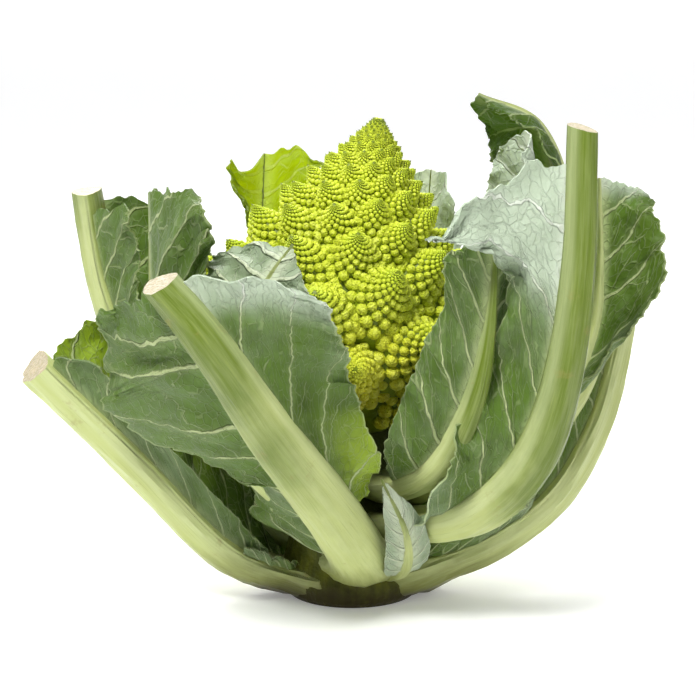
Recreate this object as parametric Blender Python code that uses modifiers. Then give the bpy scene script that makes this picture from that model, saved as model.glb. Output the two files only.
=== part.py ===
"""A Romanesco cauliflower, cut at the stem and standing in its trimmed wrapper leaves.

Metres, +Z up. The origin is the centre of the stem's cut face, and the front is -Y.
A leaf is placed by points on its rib, each an azimuth in degrees counterclockwise from +X,
a distance in millimetres from the plant's axis and a height in millimetres above the cut.
"""

import math
from typing import NamedTuple

import bmesh
import bpy
import numpy as np
from mathutils import Matrix, Vector

MM = 0.001

# The cut stem, as (radius, height) in millimetres from the cut face up to the head.
STEM_PROFILE = (
    (28.0, 0.0), (30.5, 2.5), (31.0, 9.0), (29.0, 28.0), (25.0, 50.0), (21.0, 72.0), (20.0, 110.0),
)
STEM_SIDES = 40
GAP = 0.3

# The head: a cone of florets that leans a little to the right, carried on a conical core.
HEAD_FOOT = (-12.0, 0.0, 82.0)
HEAD_LEAN_DEG = 10.0
HEAD_HEIGHT = 139.0
CORE_HALF_ANGLE_DEG = 30.0
CORE_STRAIGHT = 80.0
CORE_LENGTH = 150.0
CORE_UNDERCUT_DEG = 62.0
CORE_SIDES = 24
CORE_STEPS = 12
NECK_RADIUS = 17.0

# Florets follow one spiral at the golden angle. Each is a share of its distance from the tip in size.
GOLDEN_ANGLE_DEG = 137.508
SPIRAL_GROWTH = 0.034
MOST_FLORET_STEP = 3.4
FIRST_FLORET = 12.0
FLORET_HEIGHT_SHARE = 0.28
FLORET_RADIUS_SHARE = 0.265
MOST_FLORET_AT = 92.0
FLORET_RISE_DEG = 27.0
FLORET_RISE_WITH_SLOPE = 0.6
FLORET_SINK_SHARE = 0.17
LAST_FLORET_SHARE = 0.86
STUDDED_ABOVE = 34.0
STUD = 0.16

# Leaves.
BLADE_THICKNESS = 1.0
RIB_SIDES = 10
RIB_STEPS = 8
RIB_INNER_SHARE = 0.3
BLADE_ROOT_SHARE = 0.55
COLUMN_DROOP = 1.4
FINE = 120
FOLD_ROOM = 0.2


class Blade(NamedTuple):
    """One side of a leaf's blade, from the rib out to its margin. Left and right are as seen from outside.

    Its columns run from the rib to the margin. Every list is read at even steps, from the lowest column to
    the topmost.
    """

    root: tuple = (0.36, 1.0)  # shares of the rib's length where the columns leave it
    margin: tuple = (0.42, 1.0)  # shares that they reach at the margin, past 1 above the rib's cut end
    width: tuple = (6, 30, 40, 36)  # millimetres from the rib's edge out to the margin
    lift: tuple = (10,)  # degrees that a column leaves the rib turned in towards the head
    cup: tuple = (45,)  # degrees more that it has turned in by the margin
    ruffle: tuple = (3.0, 2.6, 0)  # millimetres, waves along the margin, and the phase in degrees
    fold: tuple = (1.0, 1.0, 0)  # shares where the top bends over, at rib and margin, and degrees inwards
    bow: float = 0.0  # share of the rib's length by which the topmost column rises midway


class Leaf(NamedTuple):
    """A leaf: a tapering rib through points, with a blade on each side."""

    rib: tuple
    width: tuple
    depth: tuple
    left: Blade = Blade()
    right: Blade = Blade()
    roll: tuple = (0,)
    cells: tuple = (4, 8)
    solver: str = "EXACT"


LEAVES = {
    "leaf_front": Leaf(
        rib=(
            (-77, 18, 22), (-85, 37, 28), (-99, 64, 57), (-112, 92, 97), (-120, 110, 131), (-131, 122, 158),
        ),
        width=(26, 29, 28, 25, 23),
        depth=(11, 13, 12, 11),
        roll=(0, 6, 12, 14),
        cells=(5, 10),
        left=Blade(
            root=(0.44, 0.99), margin=(0.48, 0.51, 0.56, 0.70, 0.88, 0.98, 1.04),
            width=(10, 28, 50, 68, 78, 70, 50), lift=(8,), cup=(20, 20, 20, 23, 23, 20),
            ruffle=(2.5, 2.2, 40),
        ),
        right=Blade(
            root=(0.38, 0.97), margin=(0.38, 0.43, 0.53, 0.63, 0.72, 0.80),
            width=(4, 16, 24, 32, 38, 40), lift=(2,), cup=(30,), fold=(0.93, 0.86, 90),
            ruffle=(1.5, 2.0, 200),
        ),
    ),
    "leaf_left": Leaf(
        rib=((192, 18, 12), (192, 36, 14), (192, 61, 28), (190, 97, 68), (189, 139, 112)),
        width=(24, 26, 24, 22),
        depth=(10, 12, 12, 12),
        left=Blade(
            root=(0.34, 0.98), margin=(0.45, 0.70, 0.86, 1.0), width=(4, 22, 40, 32),
            lift=(30, 30, 20), cup=(50, 60, 75), ruffle=(2.0, 2.4, 90),
        ),
        right=Blade(
            root=(0.30, 0.98), margin=(0.34, 0.98), width=(2, 7, 8, 8, 12),
            lift=(70,), cup=(20,), ruffle=(1.0, 3.0, 0),
        ),
    ),
    "leaf_back_left": Leaf(
        rib=((152, 18, 26), (153, 40, 33), (157, 78, 66), (157, 106, 98), (156, 124, 132), (155, 134, 176)),
        width=(23, 22, 19, 15),
        depth=(11, 13, 12, 10),
        left=Blade(
            root=(0.30, 0.98), margin=(0.38, 0.96), width=(6, 36, 48, 40),
            lift=(20,), cup=(45,), ruffle=(3.0, 2.3, 10),
        ),
        right=Blade(
            root=(0.42, 0.95), margin=(0.50, 1.0), width=(4, 20, 26, 30),
            lift=(55,), cup=(20,), ruffle=(2.0, 2.0, 120),
        ),
    ),
    "leaf_left_inner": Leaf(
        rib=((234, 18, 46), (232, 38, 50), (222, 60, 70), (205, 80, 100), (192, 89, 132), (183, 90, 184)),
        width=(20, 17, 13, 8),
        depth=(8, 8, 7, 4),
        left=Blade(width=(4, 18, 24, 22), lift=(30,), cup=(40,), ruffle=(2.0, 2.2, 60)),
        right=Blade(
            root=(0.30, 1.0), margin=(0.36, 0.56, 0.74, 0.88, 0.95, 1.0), width=(8, 12, 28, 44, 53, 44),
            lift=(5,), cup=(30, 45, 50), ruffle=(2.5, 2.6, 0),
        ),
    ),
    "leaf_front_inner": Leaf(
        rib=((250, 18, 60), (249, 42, 66), (244, 69, 92), (239, 80, 126), (241, 76, 153), (247, 64, 170)),
        width=(14, 11, 7, 4),
        depth=(7, 6, 4, 3),
        solver="MANIFOLD",  # the exact solver drops this rib
        left=Blade(
            root=(0.4, 0.98), margin=(0.5, 0.92), width=(2, 15, 24, 36, 40, 34),
            lift=(6,), cup=(20,), ruffle=(1, 2.2, 0),
        ),
        right=Blade(
            root=(0.4, 0.98), margin=(0.5, 1.0), width=(2, 14, 18, 17, 4),
            lift=(10,), cup=(40,), ruffle=(1, 2.6, 90),
        ),
    ),
    "leaf_right_inner": Leaf(
        rib=((-61, 18, 58), (-61, 40, 60), (-57, 68, 76), (-51, 80, 104), (-47, 84, 136), (-43, 82, 166)),
        width=(20, 17, 13, 8),
        depth=(8, 9, 8, 5),
        cells=(5, 10),
        left=Blade(
            root=(0.24, 1.0), margin=(0.31, 0.40, 0.57, 0.72, 0.86, 1.00, 1.05),
            width=(10, 21, 24, 23, 19, 22, 14), lift=(12, 14, 12, 8), cup=(30, 45, 50, 40, 20, 15),
            ruffle=(1.5, 2.8, 30),
        ),
        right=Blade(
            root=(0.44, 0.98), margin=(0.48, 0.62, 0.8, 0.98), width=(8, 19, 21, 17),
            lift=(5,), cup=(25,), ruffle=(1.0, 2.4, 0),
        ),
    ),
    "leaf_right": Leaf(
        rib=(
            (-44, 18, 40), (-46, 40, 43), (-43, 72, 54), (-39, 95, 78), (-36, 106, 112), (-33, 110, 160),
            (-30, 108, 220),
        ),
        width=(24, 25, 24, 20, 15, 12),
        depth=(10, 13, 14, 12, 10),
        cells=(5, 12),
        left=Blade(
            root=(0.22, 0.97), margin=(0.25, 0.35, 0.46, 0.56, 0.66, 0.75, 0.84, 0.86, 0.86),
            width=(2, 8, 14, 13, 6, 5, 30, 46, 60), lift=(45,), cup=(15, 15, 15, 15, 15, 0, -10),
            ruffle=(2.0, 5, 0), bow=0.023,
        ),
        right=Blade(
            root=(0.40, 0.96), margin=(0.46, 0.95), width=(2, 8, 12, 12),
            lift=(50,), cup=(40,), ruffle=(1, 2, 0),
        ),
    ),
    "leaf_right_middle": Leaf(
        rib=(
            (-18, 18, 50), (-16, 42, 56), (-8, 74, 69), (1, 97, 92), (6, 110, 120), (7, 113, 152),
            (7, 112, 188),
        ),
        width=(20, 18, 15, 8),
        depth=(8, 10, 9, 5),
        cells=(5, 10),
        left=Blade(
            root=(0.42, 1.0), margin=(0.50, 0.62, 0.73, 0.84, 0.94, 1.0), width=(3, 12, 26, 33, 30, 22),
            lift=(20, -20, -50, -60), cup=(10, 10, 0, -10), ruffle=(2, 2.2, 0),
        ),
        right=Blade(
            root=(0.42, 1.0), margin=(0.48, 1.0), width=(2, 8, 10, 8),
            lift=(30,), cup=(30,), ruffle=(1, 2.4, 70),
        ),
    ),
    "leaf_right_outer": Leaf(
        rib=(
            (-6, 18, 14), (-5, 36, 17), (0, 62, 26), (5, 90, 46), (11, 110, 74), (16, 122, 102),
            (20, 131, 130), (21, 132, 158),
        ),
        width=(24, 26, 24, 18),
        depth=(11, 13, 12, 10),
        left=Blade(
            root=(0.24, 0.7), margin=(0.28, 0.66), width=(3, 8, 7, 4),
            lift=(60,), cup=(20,), ruffle=(1, 3, 0),
        ),
        right=Blade(
            root=(0.34, 1.0), margin=(0.42, 1.0), width=(6, 28, 38, 32),
            lift=(12,), cup=(45,), ruffle=(3, 2.4, 70), bow=0.04,
        ),
    ),
    "leaf_back_right": Leaf(
        rib=((50, 18, 28), (49, 42, 38), (46, 74, 68), (42, 97, 110), (38, 106, 160), (37, 105, 214)),
        width=(22, 19, 15, 7),
        depth=(11, 12, 9, 5),
        left=Blade(width=(4, 18, 20, 14), margin=(0.42, 1.0), lift=(15,), cup=(30,), ruffle=(2, 2.5, 20)),
        right=Blade(
            root=(0.36, 1.0), margin=(0.45, 0.62, 0.80, 0.90, 0.98), width=(6, 22, 25, 27, 25),
            lift=(25, 30), cup=(25,), ruffle=(2.0, 2.2, 80), bow=0.05,
        ),
    ),
    "leaf_back": Leaf(
        rib=((101, 18, 24), (101, 40, 33), (101, 78, 66), (100, 104, 100), (99, 114, 142)),
        width=(22, 22, 20, 16),
        depth=(11, 13, 12, 10),
        left=Blade(
            root=(0.30, 1.0), width=(5, 32, 44, 36), lift=(15,), cup=(45,), ruffle=(3, 2.5, 0), bow=0.05,
        ),
        right=Blade(
            root=(0.30, 1.0), width=(5, 32, 46, 38), lift=(15,), cup=(50,), ruffle=(3, 2.3, 140), bow=0.05,
        ),
    ),
    "leaf_back_left_inner": Leaf(
        rib=((126, 18, 60), (126, 42, 66), (124, 70, 92), (122, 82, 130), (121, 80, 192)),
        width=(17, 14, 10, 5),
        depth=(7, 8, 6, 3),
        left=Blade(width=(4, 20, 26, 20), lift=(15,), cup=(40,), ruffle=(2, 2.4, 0)),
        right=Blade(width=(4, 20, 28, 30), lift=(15,), cup=(40,), ruffle=(2, 2.2, 100)),
    ),
    "leaf_back_right_inner": Leaf(
        rib=((78, 18, 60), (76, 42, 66), (70, 70, 92), (66, 82, 130), (62, 80, 184)),
        width=(17, 14, 10, 5),
        depth=(7, 8, 6, 3),
        left=Blade(width=(4, 20, 26, 24), lift=(15,), cup=(40,), ruffle=(2, 2.4, 50)),
        right=Blade(width=(4, 18, 24, 20), lift=(15,), cup=(40,), ruffle=(2, 2.2, 0)),
    ),
    "leaf_far_right_inner": Leaf(
        rib=((24, 18, 62), (24, 42, 68), (24, 72, 94), (24, 87, 130), (22, 90, 172), (20, 86, 206)),
        width=(17, 14, 9, 4),
        depth=(7, 7, 5, 2),
        left=Blade(
            root=(0.24, 1.0), margin=(0.28, 1.0), width=(8, 20, 24, 20, 12),
            lift=(15,), cup=(40,), ruffle=(1.5, 2.4, 50),
        ),
        right=Blade(
            width=(4, 14, 18, 18, 12), margin=(0.42, 1.0), lift=(15,), cup=(40,), ruffle=(1.5, 2.2, 0),
        ),
    ),
    "leaf_bract": Leaf(
        rib=((-53, 22, 11), (-56, 45, 18), (-64, 62, 38), (-76, 70, 66)),
        width=(6, 5, 2.4),
        depth=(3, 2.4, 1.2),
        cells=(3, 7),
        left=Blade(
            root=(0.25, 0.96), margin=(0.22, 0.98), width=(3, 8, 8, 6, 1),
            lift=(0,), cup=(10,), ruffle=(0.5, 1.5, 0),
        ),
        right=Blade(
            root=(0.25, 0.96), margin=(0.22, 0.98), width=(3, 8, 8, 6, 1),
            lift=(0,), cup=(10,), ruffle=(0.5, 1.5, 0),
        ),
    ),
}

COLOURS = {
    "curd": ((0.50, 0.62, 0.05), 0.55),
    "stem": ((0.55, 0.60, 0.28), 0.6),
    "leaf": ((0.17, 0.30, 0.12), 0.5),
}


def clear_scene():
    for obj in list(bpy.data.objects):
        bpy.data.objects.remove(obj)


def new_collection(name):
    collection = bpy.data.collections.new(name)
    bpy.context.scene.collection.children.link(collection)
    return collection


def material(name):
    """A Principled material in one of the plant's colours."""
    colour, roughness = COLOURS[name]
    made = bpy.data.materials.new(name)
    made.use_nodes = True
    shader = made.node_tree.nodes["Principled BSDF"]
    shader.inputs["Base Color"].default_value = (*colour, 1.0)
    shader.inputs["Roughness"].default_value = roughness
    shader.inputs["Metallic"].default_value = 0.0
    made.diffuse_color = (*colour, 1.0)
    return made


def add_object(name, mesh, collection):
    obj = bpy.data.objects.new(name, mesh)
    collection.objects.link(obj)
    return obj


def mesh_of(bm, name):
    mesh = bpy.data.meshes.new(name)
    bm.to_mesh(mesh)
    bm.free()
    return mesh


def apply_modifiers(obj):
    """Replaces the object's mesh with the one that its modifiers make."""
    bpy.context.view_layer.update()
    graph = bpy.context.evaluated_depsgraph_get()
    made = bpy.data.meshes.new_from_object(obj.evaluated_get(graph))
    obj.modifiers.clear()
    obj.data = made


def boolean(obj, operation, other, solver="EXACT"):
    """Adds a Boolean with an object or a collection."""
    modifier = obj.modifiers.new(operation.title(), "BOOLEAN")
    modifier.operation = operation
    modifier.solver = solver
    if isinstance(other, bpy.types.Collection):
        modifier.operand_type = "COLLECTION"
        modifier.collection = other
    else:
        modifier.object = other
    return modifier


def smooth(values, share):
    """A smooth curve through evenly spaced values or points, read at shares of it and carried on straight."""
    values = np.array(values, float)
    share = np.asarray(share, float)
    if len(values) == 1:
        return np.zeros(share.shape + values.shape[1:]) + values[0]
    held = np.clip(share, 0.0, 1.0)
    padded = np.concatenate([[2 * values[0] - values[1]], values, [2 * values[-1] - values[-2]]])
    place = held * (len(values) - 1)
    index = np.minimum(place.astype(int), len(values) - 2)
    part = (place - index).reshape(place.shape + (1,) * (values.ndim - 1))
    before, first, second, after = (padded[index + k] for k in range(4))
    curve = 0.5 * (
        2 * first
        + (second - before) * part
        + (2 * before - 5 * first + 4 * second - after) * part**2
        + (3 * first - before - 3 * second + after) * part**3
    )
    beyond = (share - held).reshape(part.shape) * (len(values) - 1)
    return curve + beyond * np.where(beyond < 0, values[1] - values[0], values[-1] - values[-2])


def unit(vectors):
    return vectors / np.linalg.norm(vectors, axis=-1, keepdims=True)


def turned(vectors, axes, degrees):
    """Vectors turned about unit axes by Rodrigues' formula."""
    angle = np.radians(degrees)[..., None]
    along = np.sum(vectors * axes, axis=-1, keepdims=True) * axes
    return (
        vectors * np.cos(angle) + np.cross(axes, vectors) * np.sin(angle) + along * (1 - np.cos(angle))
    )


def rib_frame(leaf, share):
    """The rib's centre, its direction, its right and its outer side, at shares of its length."""
    azimuth, radius, height = (np.array(column, float) for column in zip(*leaf.rib))
    points = np.stack(
        [radius * np.cos(np.radians(azimuth)), radius * np.sin(np.radians(azimuth)), height], axis=-1
    )
    share = np.asarray(share, float)
    step = 0.01
    centre = smooth(points, share)
    along = unit(smooth(points, share + step) - smooth(points, share - step))
    around = unit(np.stack([-centre[..., 1], centre[..., 0], np.zeros(share.shape)], axis=-1))
    right = unit(around - np.sum(around * along, axis=-1, keepdims=True) * along)
    right = turned(right, along, smooth(leaf.roll, np.clip(share, 0, 1)))
    return centre, along, right, np.cross(right, along)


def blade_surface(leaf, blade, side):
    """Points of one blade in millimetres, on a fine grid of rows out from the rib by columns up it."""
    out, up = np.meshgrid(np.linspace(0, 1, FINE + 1), np.linspace(0, 1, FINE + 1), indexing="ij")
    root = blade.root[0] + (blade.root[1] - blade.root[0]) * up
    share = root + (smooth(blade.margin, up) - root) * out**COLUMN_DROOP
    share = share + blade.bow * 4 * out * (1 - out) * up**2
    centre, along, right, outward = rib_frame(leaf, share)
    half_rib = 0.5 * smooth(leaf.width, np.clip(share, 0, 1))
    width = np.maximum(smooth(blade.width, up), 1.0) + (1 - BLADE_ROOT_SHARE) * half_rib
    lift = np.radians(smooth(blade.lift, up))
    cup = np.radians(smooth(blade.cup, up))
    cup = np.where(np.abs(cup) < 0.02, 0.02, cup)
    heading = lift + cup * out
    bend = width / cup
    across = bend * (np.sin(heading) - np.sin(lift))
    inward = bend * (np.cos(lift) - np.cos(heading))
    height, waves, phase = blade.ruffle
    wave = height * out**1.5 * np.sin(2 * math.pi * waves * up + math.radians(phase))
    across = side * (BLADE_ROOT_SHARE * half_rib + across + wave * np.sin(heading))
    outwards = wave * np.cos(heading) - inward
    points = centre + right * across[..., None] + outward * outwards[..., None]
    return folded(points, blade.fold, side)


def folded(points, fold, side):
    """Bends the blade's top over a line across it, more so with the distance from the rib."""
    at_rib, at_margin, degrees = fold
    if degrees == 0:
        return points
    out, up = np.meshgrid(np.linspace(0, 1, FINE + 1), np.linspace(0, 1, FINE + 1), indexing="ij")
    line = at_rib + (at_margin - at_rib) * out
    begun = np.clip((up - line) / FOLD_ROOM, 0, 1)
    angle = degrees * begun * np.clip(out / 0.35, 0, 1)
    steps = np.diff(points, axis=1)
    across = np.gradient(points, axis=0)
    axes = unit(across[:, :-1]) * side
    bent = turned(steps, axes, angle[:, 1:])
    moved = np.concatenate([points[:, :1], points[:, :1] + np.cumsum(bent, axis=1)], axis=1)
    return moved


def blade_object(name, leaf, blade, side, collection):
    """One blade as a closed sheet, its faces split alike on both sides."""
    steps_out, steps_up = leaf.cells
    surface = blade_surface(leaf, blade, side)
    bm = bmesh.new()
    bmesh.ops.create_grid(bm, x_segments=steps_out, y_segments=steps_up, size=0.5)
    for vert in bm.verts:
        row = round((vert.co.x + 0.5) * FINE)
        column = round((vert.co.y + 0.5) * FINE)
        vert.co = Vector(surface[row, column]) * MM
    bmesh.ops.triangulate(bm, faces=bm.faces)
    obj = add_object(name, mesh_of(bm, name), collection)
    solidify = obj.modifiers.new("Thickness", "SOLIDIFY")
    solidify.thickness = BLADE_THICKNESS * MM
    solidify.offset = 0.0
    apply_modifiers(obj)
    return obj


def rib_object(name, leaf, collection):
    """A rib: a tube, round outside and nearly flat inside, that tapers along its points."""
    bm = bmesh.new()
    bmesh.ops.create_cone(
        bm, cap_ends=True, segments=RIB_SIDES, radius1=1.0, radius2=1.0, depth=1.0
    )
    upright = [edge for edge in bm.edges if abs(edge.verts[0].co.z - edge.verts[1].co.z) > 0.5]
    bmesh.ops.subdivide_edges(bm, edges=upright, cuts=RIB_STEPS - 1, use_grid_fill=True)
    for vert in bm.verts:
        share = vert.co.z + 0.5
        centre, _, right, outward = rib_frame(leaf, share)
        half_width = 0.5 * smooth(leaf.width, share)
        depth = smooth(leaf.depth, share) * (RIB_INNER_SHARE if vert.co.y < 0 else 1.0)
        vert.co = Vector(centre - right * half_width * vert.co.x + outward * depth * vert.co.y) * MM
    return add_object(name, mesh_of(bm, name), collection)


def build_leaf(name, leaf, collection, helpers, stem_space):
    """One leaf: its rib with both blades joined to it, cut clear of the stem."""
    rib = rib_object(name, leaf, collection)
    blades = [
        blade_object(name + "_left_blade", leaf, leaf.left, -1, helpers),
        blade_object(name + "_right_blade", leaf, leaf.right, 1, helpers),
    ]
    for blade in blades:
        boolean(rib, "UNION", blade, leaf.solver)
    boolean(rib, "DIFFERENCE", stem_space, leaf.solver)
    apply_modifiers(rib)
    for blade in blades:
        bpy.data.objects.remove(blade)
    rib.data.materials.clear()
    rib.data.materials.append(bpy.data.materials["leaf"])
    return rib


def turned_object(name, profile, sides, collection):
    """A solid turned about Z from (radius, height) points in millimetres, listed from the top down."""
    bm = bmesh.new()
    verts = [bm.verts.new((radius * MM, 0.0, height * MM)) for radius, height in profile]
    for first, second in zip(verts, verts[1:]):
        bm.edges.new((first, second))
    obj = add_object(name, mesh_of(bm, name), collection)
    screw = obj.modifiers.new("Turn", "SCREW")
    screw.angle = 2 * math.pi
    screw.steps = sides
    screw.render_steps = sides
    screw.use_merge_vertices = True
    screw.merge_threshold = 0.00001
    apply_modifiers(obj)
    return obj


def stem_solid(name, grown, collection):
    """The stem's outline, grown by so many millimetres, with closed ends."""
    profile = [(0.0, STEM_PROFILE[-1][1] + grown)]
    profile += [(radius + grown, height) for radius, height in reversed(STEM_PROFILE)]
    profile[-1] = (profile[-1][0], STEM_PROFILE[0][1] - grown)
    profile.append((0.0, STEM_PROFILE[0][1] - grown))
    return turned_object(name, profile, STEM_SIDES, collection)


def head_matrix():
    """Places the head's own frame, with its foot at the origin and its tip on +Z."""
    return Matrix.Translation(Vector(HEAD_FOOT) * MM) @ Matrix.Rotation(
        math.radians(HEAD_LEAN_DEG), 4, "Y"
    )


def build_stem(collection, cutters):
    """The cut stem, trimmed at the top to the head's leaning foot."""
    stem = stem_solid("stem", 0.0, collection)
    bm = bmesh.new()
    bmesh.ops.create_cube(bm, size=200 * MM)
    trim = add_object("stem_trim", mesh_of(bm, "stem_trim"), cutters)
    trim.matrix_world = head_matrix() @ Matrix.Translation((0, 0, (100 - GAP) * MM))
    boolean(stem, "DIFFERENCE", trim)
    apply_modifiers(stem)
    stem.data.materials.append(bpy.data.materials["stem"])
    return stem


def core_place(distance):
    """Radius, height below the tip and slope of the core's side, at a distance along it from the tip."""
    steps = 200
    along = np.linspace(0, distance, steps + 1)
    bending = np.clip((along - CORE_STRAIGHT) / (CORE_LENGTH - CORE_STRAIGHT), 0, 1)
    slope = np.radians(CORE_HALF_ANGLE_DEG - (CORE_HALF_ANGLE_DEG + CORE_UNDERCUT_DEG) * bending)
    middle = 0.5 * (slope[1:] + slope[:-1])
    width = distance / steps
    return float(np.sum(np.sin(middle)) * width), float(np.sum(np.cos(middle)) * width), float(slope[-1])


def floret_distances():
    """Distances of the florets from the tip along the core, each a little further than the last."""
    distance = FIRST_FLORET
    while distance < CORE_LENGTH * LAST_FLORET_SHARE:
        yield distance
        distance += min(distance * SPIRAL_GROWTH, MOST_FLORET_STEP)


def floret_mesh(name, around, rings):
    """A floret one unit high and wide: a cone set with studs, closed by a root below its foot."""
    bm = bmesh.new()
    bmesh.ops.create_uvsphere(bm, u_segments=around, v_segments=rings, radius=1.0)
    for vert in bm.verts:
        ring = round(math.acos(max(-1.0, min(1.0, vert.co.z))) / math.pi * rings)
        turn = math.atan2(vert.co.y, vert.co.x)
        segment = round(turn / (2 * math.pi) * around)
        share = ring / (rings - 1)
        if ring in (0, rings):
            vert.co = Vector((0, 0, 1.0 if ring == 0 else -0.5))
            continue
        stud = STUD * (1.0 - share) * (1 if (segment + ring) % 2 else -1)
        radius = share**0.9 * (1.0 + stud)
        vert.co = Vector((radius * math.cos(turn), radius * math.sin(turn), 1.0 - share * (1.0 - stud)))
    return mesh_of(bm, name)


def build_head(collection, florets):
    """The head: a core, with a spiral of studded florets joined to it."""
    profile = [(0.0, HEAD_HEIGHT)]
    for step in range(1, CORE_STEPS + 1):
        radius, drop, _ = core_place(CORE_LENGTH * step / CORE_STEPS)
        profile.append((radius, HEAD_HEIGHT - drop))
    profile.append((NECK_RADIUS, 0.0))
    profile.append((0.0, 0.0))
    core = turned_object("head", profile, CORE_SIDES, collection)
    core.matrix_world = head_matrix()
    large = floret_mesh("floret", 8, 5)
    small = floret_mesh("small_floret", 6, 4)
    for index, distance in enumerate(floret_distances()):
        radius, drop, slope = core_place(distance)
        reach = min(distance, MOST_FLORET_AT)
        floret = add_object(
            "floret_%03d" % index, large if distance > STUDDED_ABOVE else small, florets
        )
        rise = math.radians(FLORET_RISE_DEG) + FLORET_RISE_WITH_SLOPE * slope
        sink = FLORET_SINK_SHARE * reach
        out = radius - sink * math.cos(rise)
        up = HEAD_HEIGHT - drop - sink * math.sin(rise)
        floret.matrix_world = (
            head_matrix()
            @ Matrix.Rotation(math.radians(index * GOLDEN_ANGLE_DEG), 4, "Z")
            @ Matrix.Translation((out * MM, 0, up * MM))
            @ Matrix.Rotation(math.pi / 2 - rise, 4, "Y")
            @ Matrix.Diagonal(
                (
                    FLORET_RADIUS_SHARE * reach * MM,
                    FLORET_RADIUS_SHARE * reach * MM,
                    (FLORET_HEIGHT_SHARE + FLORET_SINK_SHARE) * reach * MM,
                    1.0,
                )
            )
        )
    boolean(core, "UNION", florets)
    apply_modifiers(core)
    core.data.materials.clear()
    core.data.materials.append(bpy.data.materials["curd"])
    for floret in list(florets.objects):
        bpy.data.objects.remove(floret)
    return core


def main():
    clear_scene()
    for name in COLOURS:
        material(name)
    plant = new_collection("romanesco_cauliflower")
    helpers = new_collection("joined_pieces")
    cutters = new_collection("cutters")
    build_stem(plant, cutters)
    build_head(plant, helpers)
    stem_space = stem_solid("stem_space", GAP, cutters)
    for name, leaf in LEAVES.items():
        build_leaf(name, leaf, plant, helpers, stem_space)
    for cutter in cutters.objects:
        cutter.hide_render = True
        cutter.display_type = "WIRE"


main()
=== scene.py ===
# %% [markdown]
# # A romanesco cauliflower
# A romanesco is a cauliflower whose head is a cone of smaller cones, and each of those is set with
# cones again, always in spirals. It is sold as it is cut: standing on its stump, inside the leaves
# that wrapped it, with their stalks trimmed short. This script dresses the plain model of one. It
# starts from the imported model, so that every leaf and the head keep the place and size they have
# there, and it works out their fine shapes by the same few rules that made the model.

# %% Load the model
import math
from typing import NamedTuple

import bpy
import numpy as np
from mathutils import Matrix, Vector


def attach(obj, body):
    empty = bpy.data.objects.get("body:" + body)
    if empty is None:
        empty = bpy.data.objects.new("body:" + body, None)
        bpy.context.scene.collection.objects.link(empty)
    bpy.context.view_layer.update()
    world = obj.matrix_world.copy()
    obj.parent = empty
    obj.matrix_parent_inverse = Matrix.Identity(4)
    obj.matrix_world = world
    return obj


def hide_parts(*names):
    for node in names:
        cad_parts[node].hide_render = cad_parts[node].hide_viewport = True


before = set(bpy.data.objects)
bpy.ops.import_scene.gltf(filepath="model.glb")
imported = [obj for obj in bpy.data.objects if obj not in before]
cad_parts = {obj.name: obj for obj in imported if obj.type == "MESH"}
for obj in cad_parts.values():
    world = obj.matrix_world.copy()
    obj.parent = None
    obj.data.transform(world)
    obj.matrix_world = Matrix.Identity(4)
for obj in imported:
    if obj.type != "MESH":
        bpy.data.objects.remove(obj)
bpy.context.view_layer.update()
MM = 0.001
print("pieces of the model:", ", ".join(sorted(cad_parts)))

# %% [markdown]
# ## The camera
# The plant was seen from a little above the level of its leaves, from far enough away that near and
# far leaves keep their true sizes. A long lens at 1.1 m gives that flat view, and the focal length
# in pixels turns into a lens by the width of the sensor.

# %% Camera
PICTURE_WIDTH = 696
FOCAL_LENGTH_PIXELS = 2444.4
SENSOR_WIDTH = 36.0
CAMERA_DISTANCE = 1.1
CAMERA_ELEVATION = math.radians(12)
VIEW_CENTRE = Vector((-1.8, 0.0, 113.0)) * MM

towards_camera = Vector((0, -math.cos(CAMERA_ELEVATION), math.sin(CAMERA_ELEVATION)))
bpy.ops.object.camera_add(
    location=VIEW_CENTRE + CAMERA_DISTANCE * towards_camera,
    rotation=towards_camera.to_track_quat("Z", "Y").to_euler(),
)
camera = bpy.context.object
camera.data.sensor_width = SENSOR_WIDTH
camera.data.lens = SENSOR_WIDTH * FOCAL_LENGTH_PIXELS / PICTURE_WIDTH
bpy.context.scene.camera = camera
print("lens: %.1f mm" % camera.data.lens)

# %% [markdown]
# ## Light and floor
# The light is a bright studio. A lamp high in front, a little to the left, gives the shadows, and a
# weak one at the right fills them. A third, behind, shines through the thin leaves and makes them
# glow yellow-green. A ceiling of light softens it all, and the world itself stays dim. The plain way
# of showing colours is used, because the filmic one turns the head's strong yellow-green to grey.

# %% Lights and world
def lamp(name, azimuth, elevation, distance, size, power):
    """A square soft lamp that looks at the plant. Azimuth 0 is the camera's side, 90 the right."""
    turn = math.radians(azimuth)
    rise = math.radians(elevation)
    away = Vector((math.sin(turn) * math.cos(rise), -math.cos(turn) * math.cos(rise), math.sin(rise)))
    bpy.ops.object.light_add(
        type="AREA",
        location=VIEW_CENTRE + distance * away,
        rotation=away.to_track_quat("Z", "Y").to_euler(),
    )
    made = bpy.context.object
    made.name = name
    made.data.shape = "SQUARE"
    made.data.size = size
    made.data.energy = power
    return made


lamp("key_light", azimuth=-28, elevation=58, distance=1.3, size=0.4, power=17)
lamp("fill_light", azimuth=60, elevation=25, distance=1.5, size=0.8, power=2.5)
lamp("back_light", azimuth=-165, elevation=40, distance=1.1, size=0.6, power=8)
lamp("ceiling", azimuth=180, elevation=86, distance=2.4, size=4.0, power=28)
bpy.context.scene.view_settings.view_transform = "Standard"
world = bpy.data.worlds.new("studio")
world.use_nodes = True
world.node_tree.nodes["Background"].inputs["Color"].default_value = (0.95, 0.97, 1.0, 1.0)
world.node_tree.nodes["Background"].inputs["Strength"].default_value = 0.15
bpy.context.scene.world = world

# %% [markdown]
# The floor and the backdrop are white planes that shine a little themselves, so that they come out as
# one pure white and only the plant's soft shadow marks where it stands. The backdrop stands far
# enough behind to be out of the way of a camera on any side.


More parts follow.
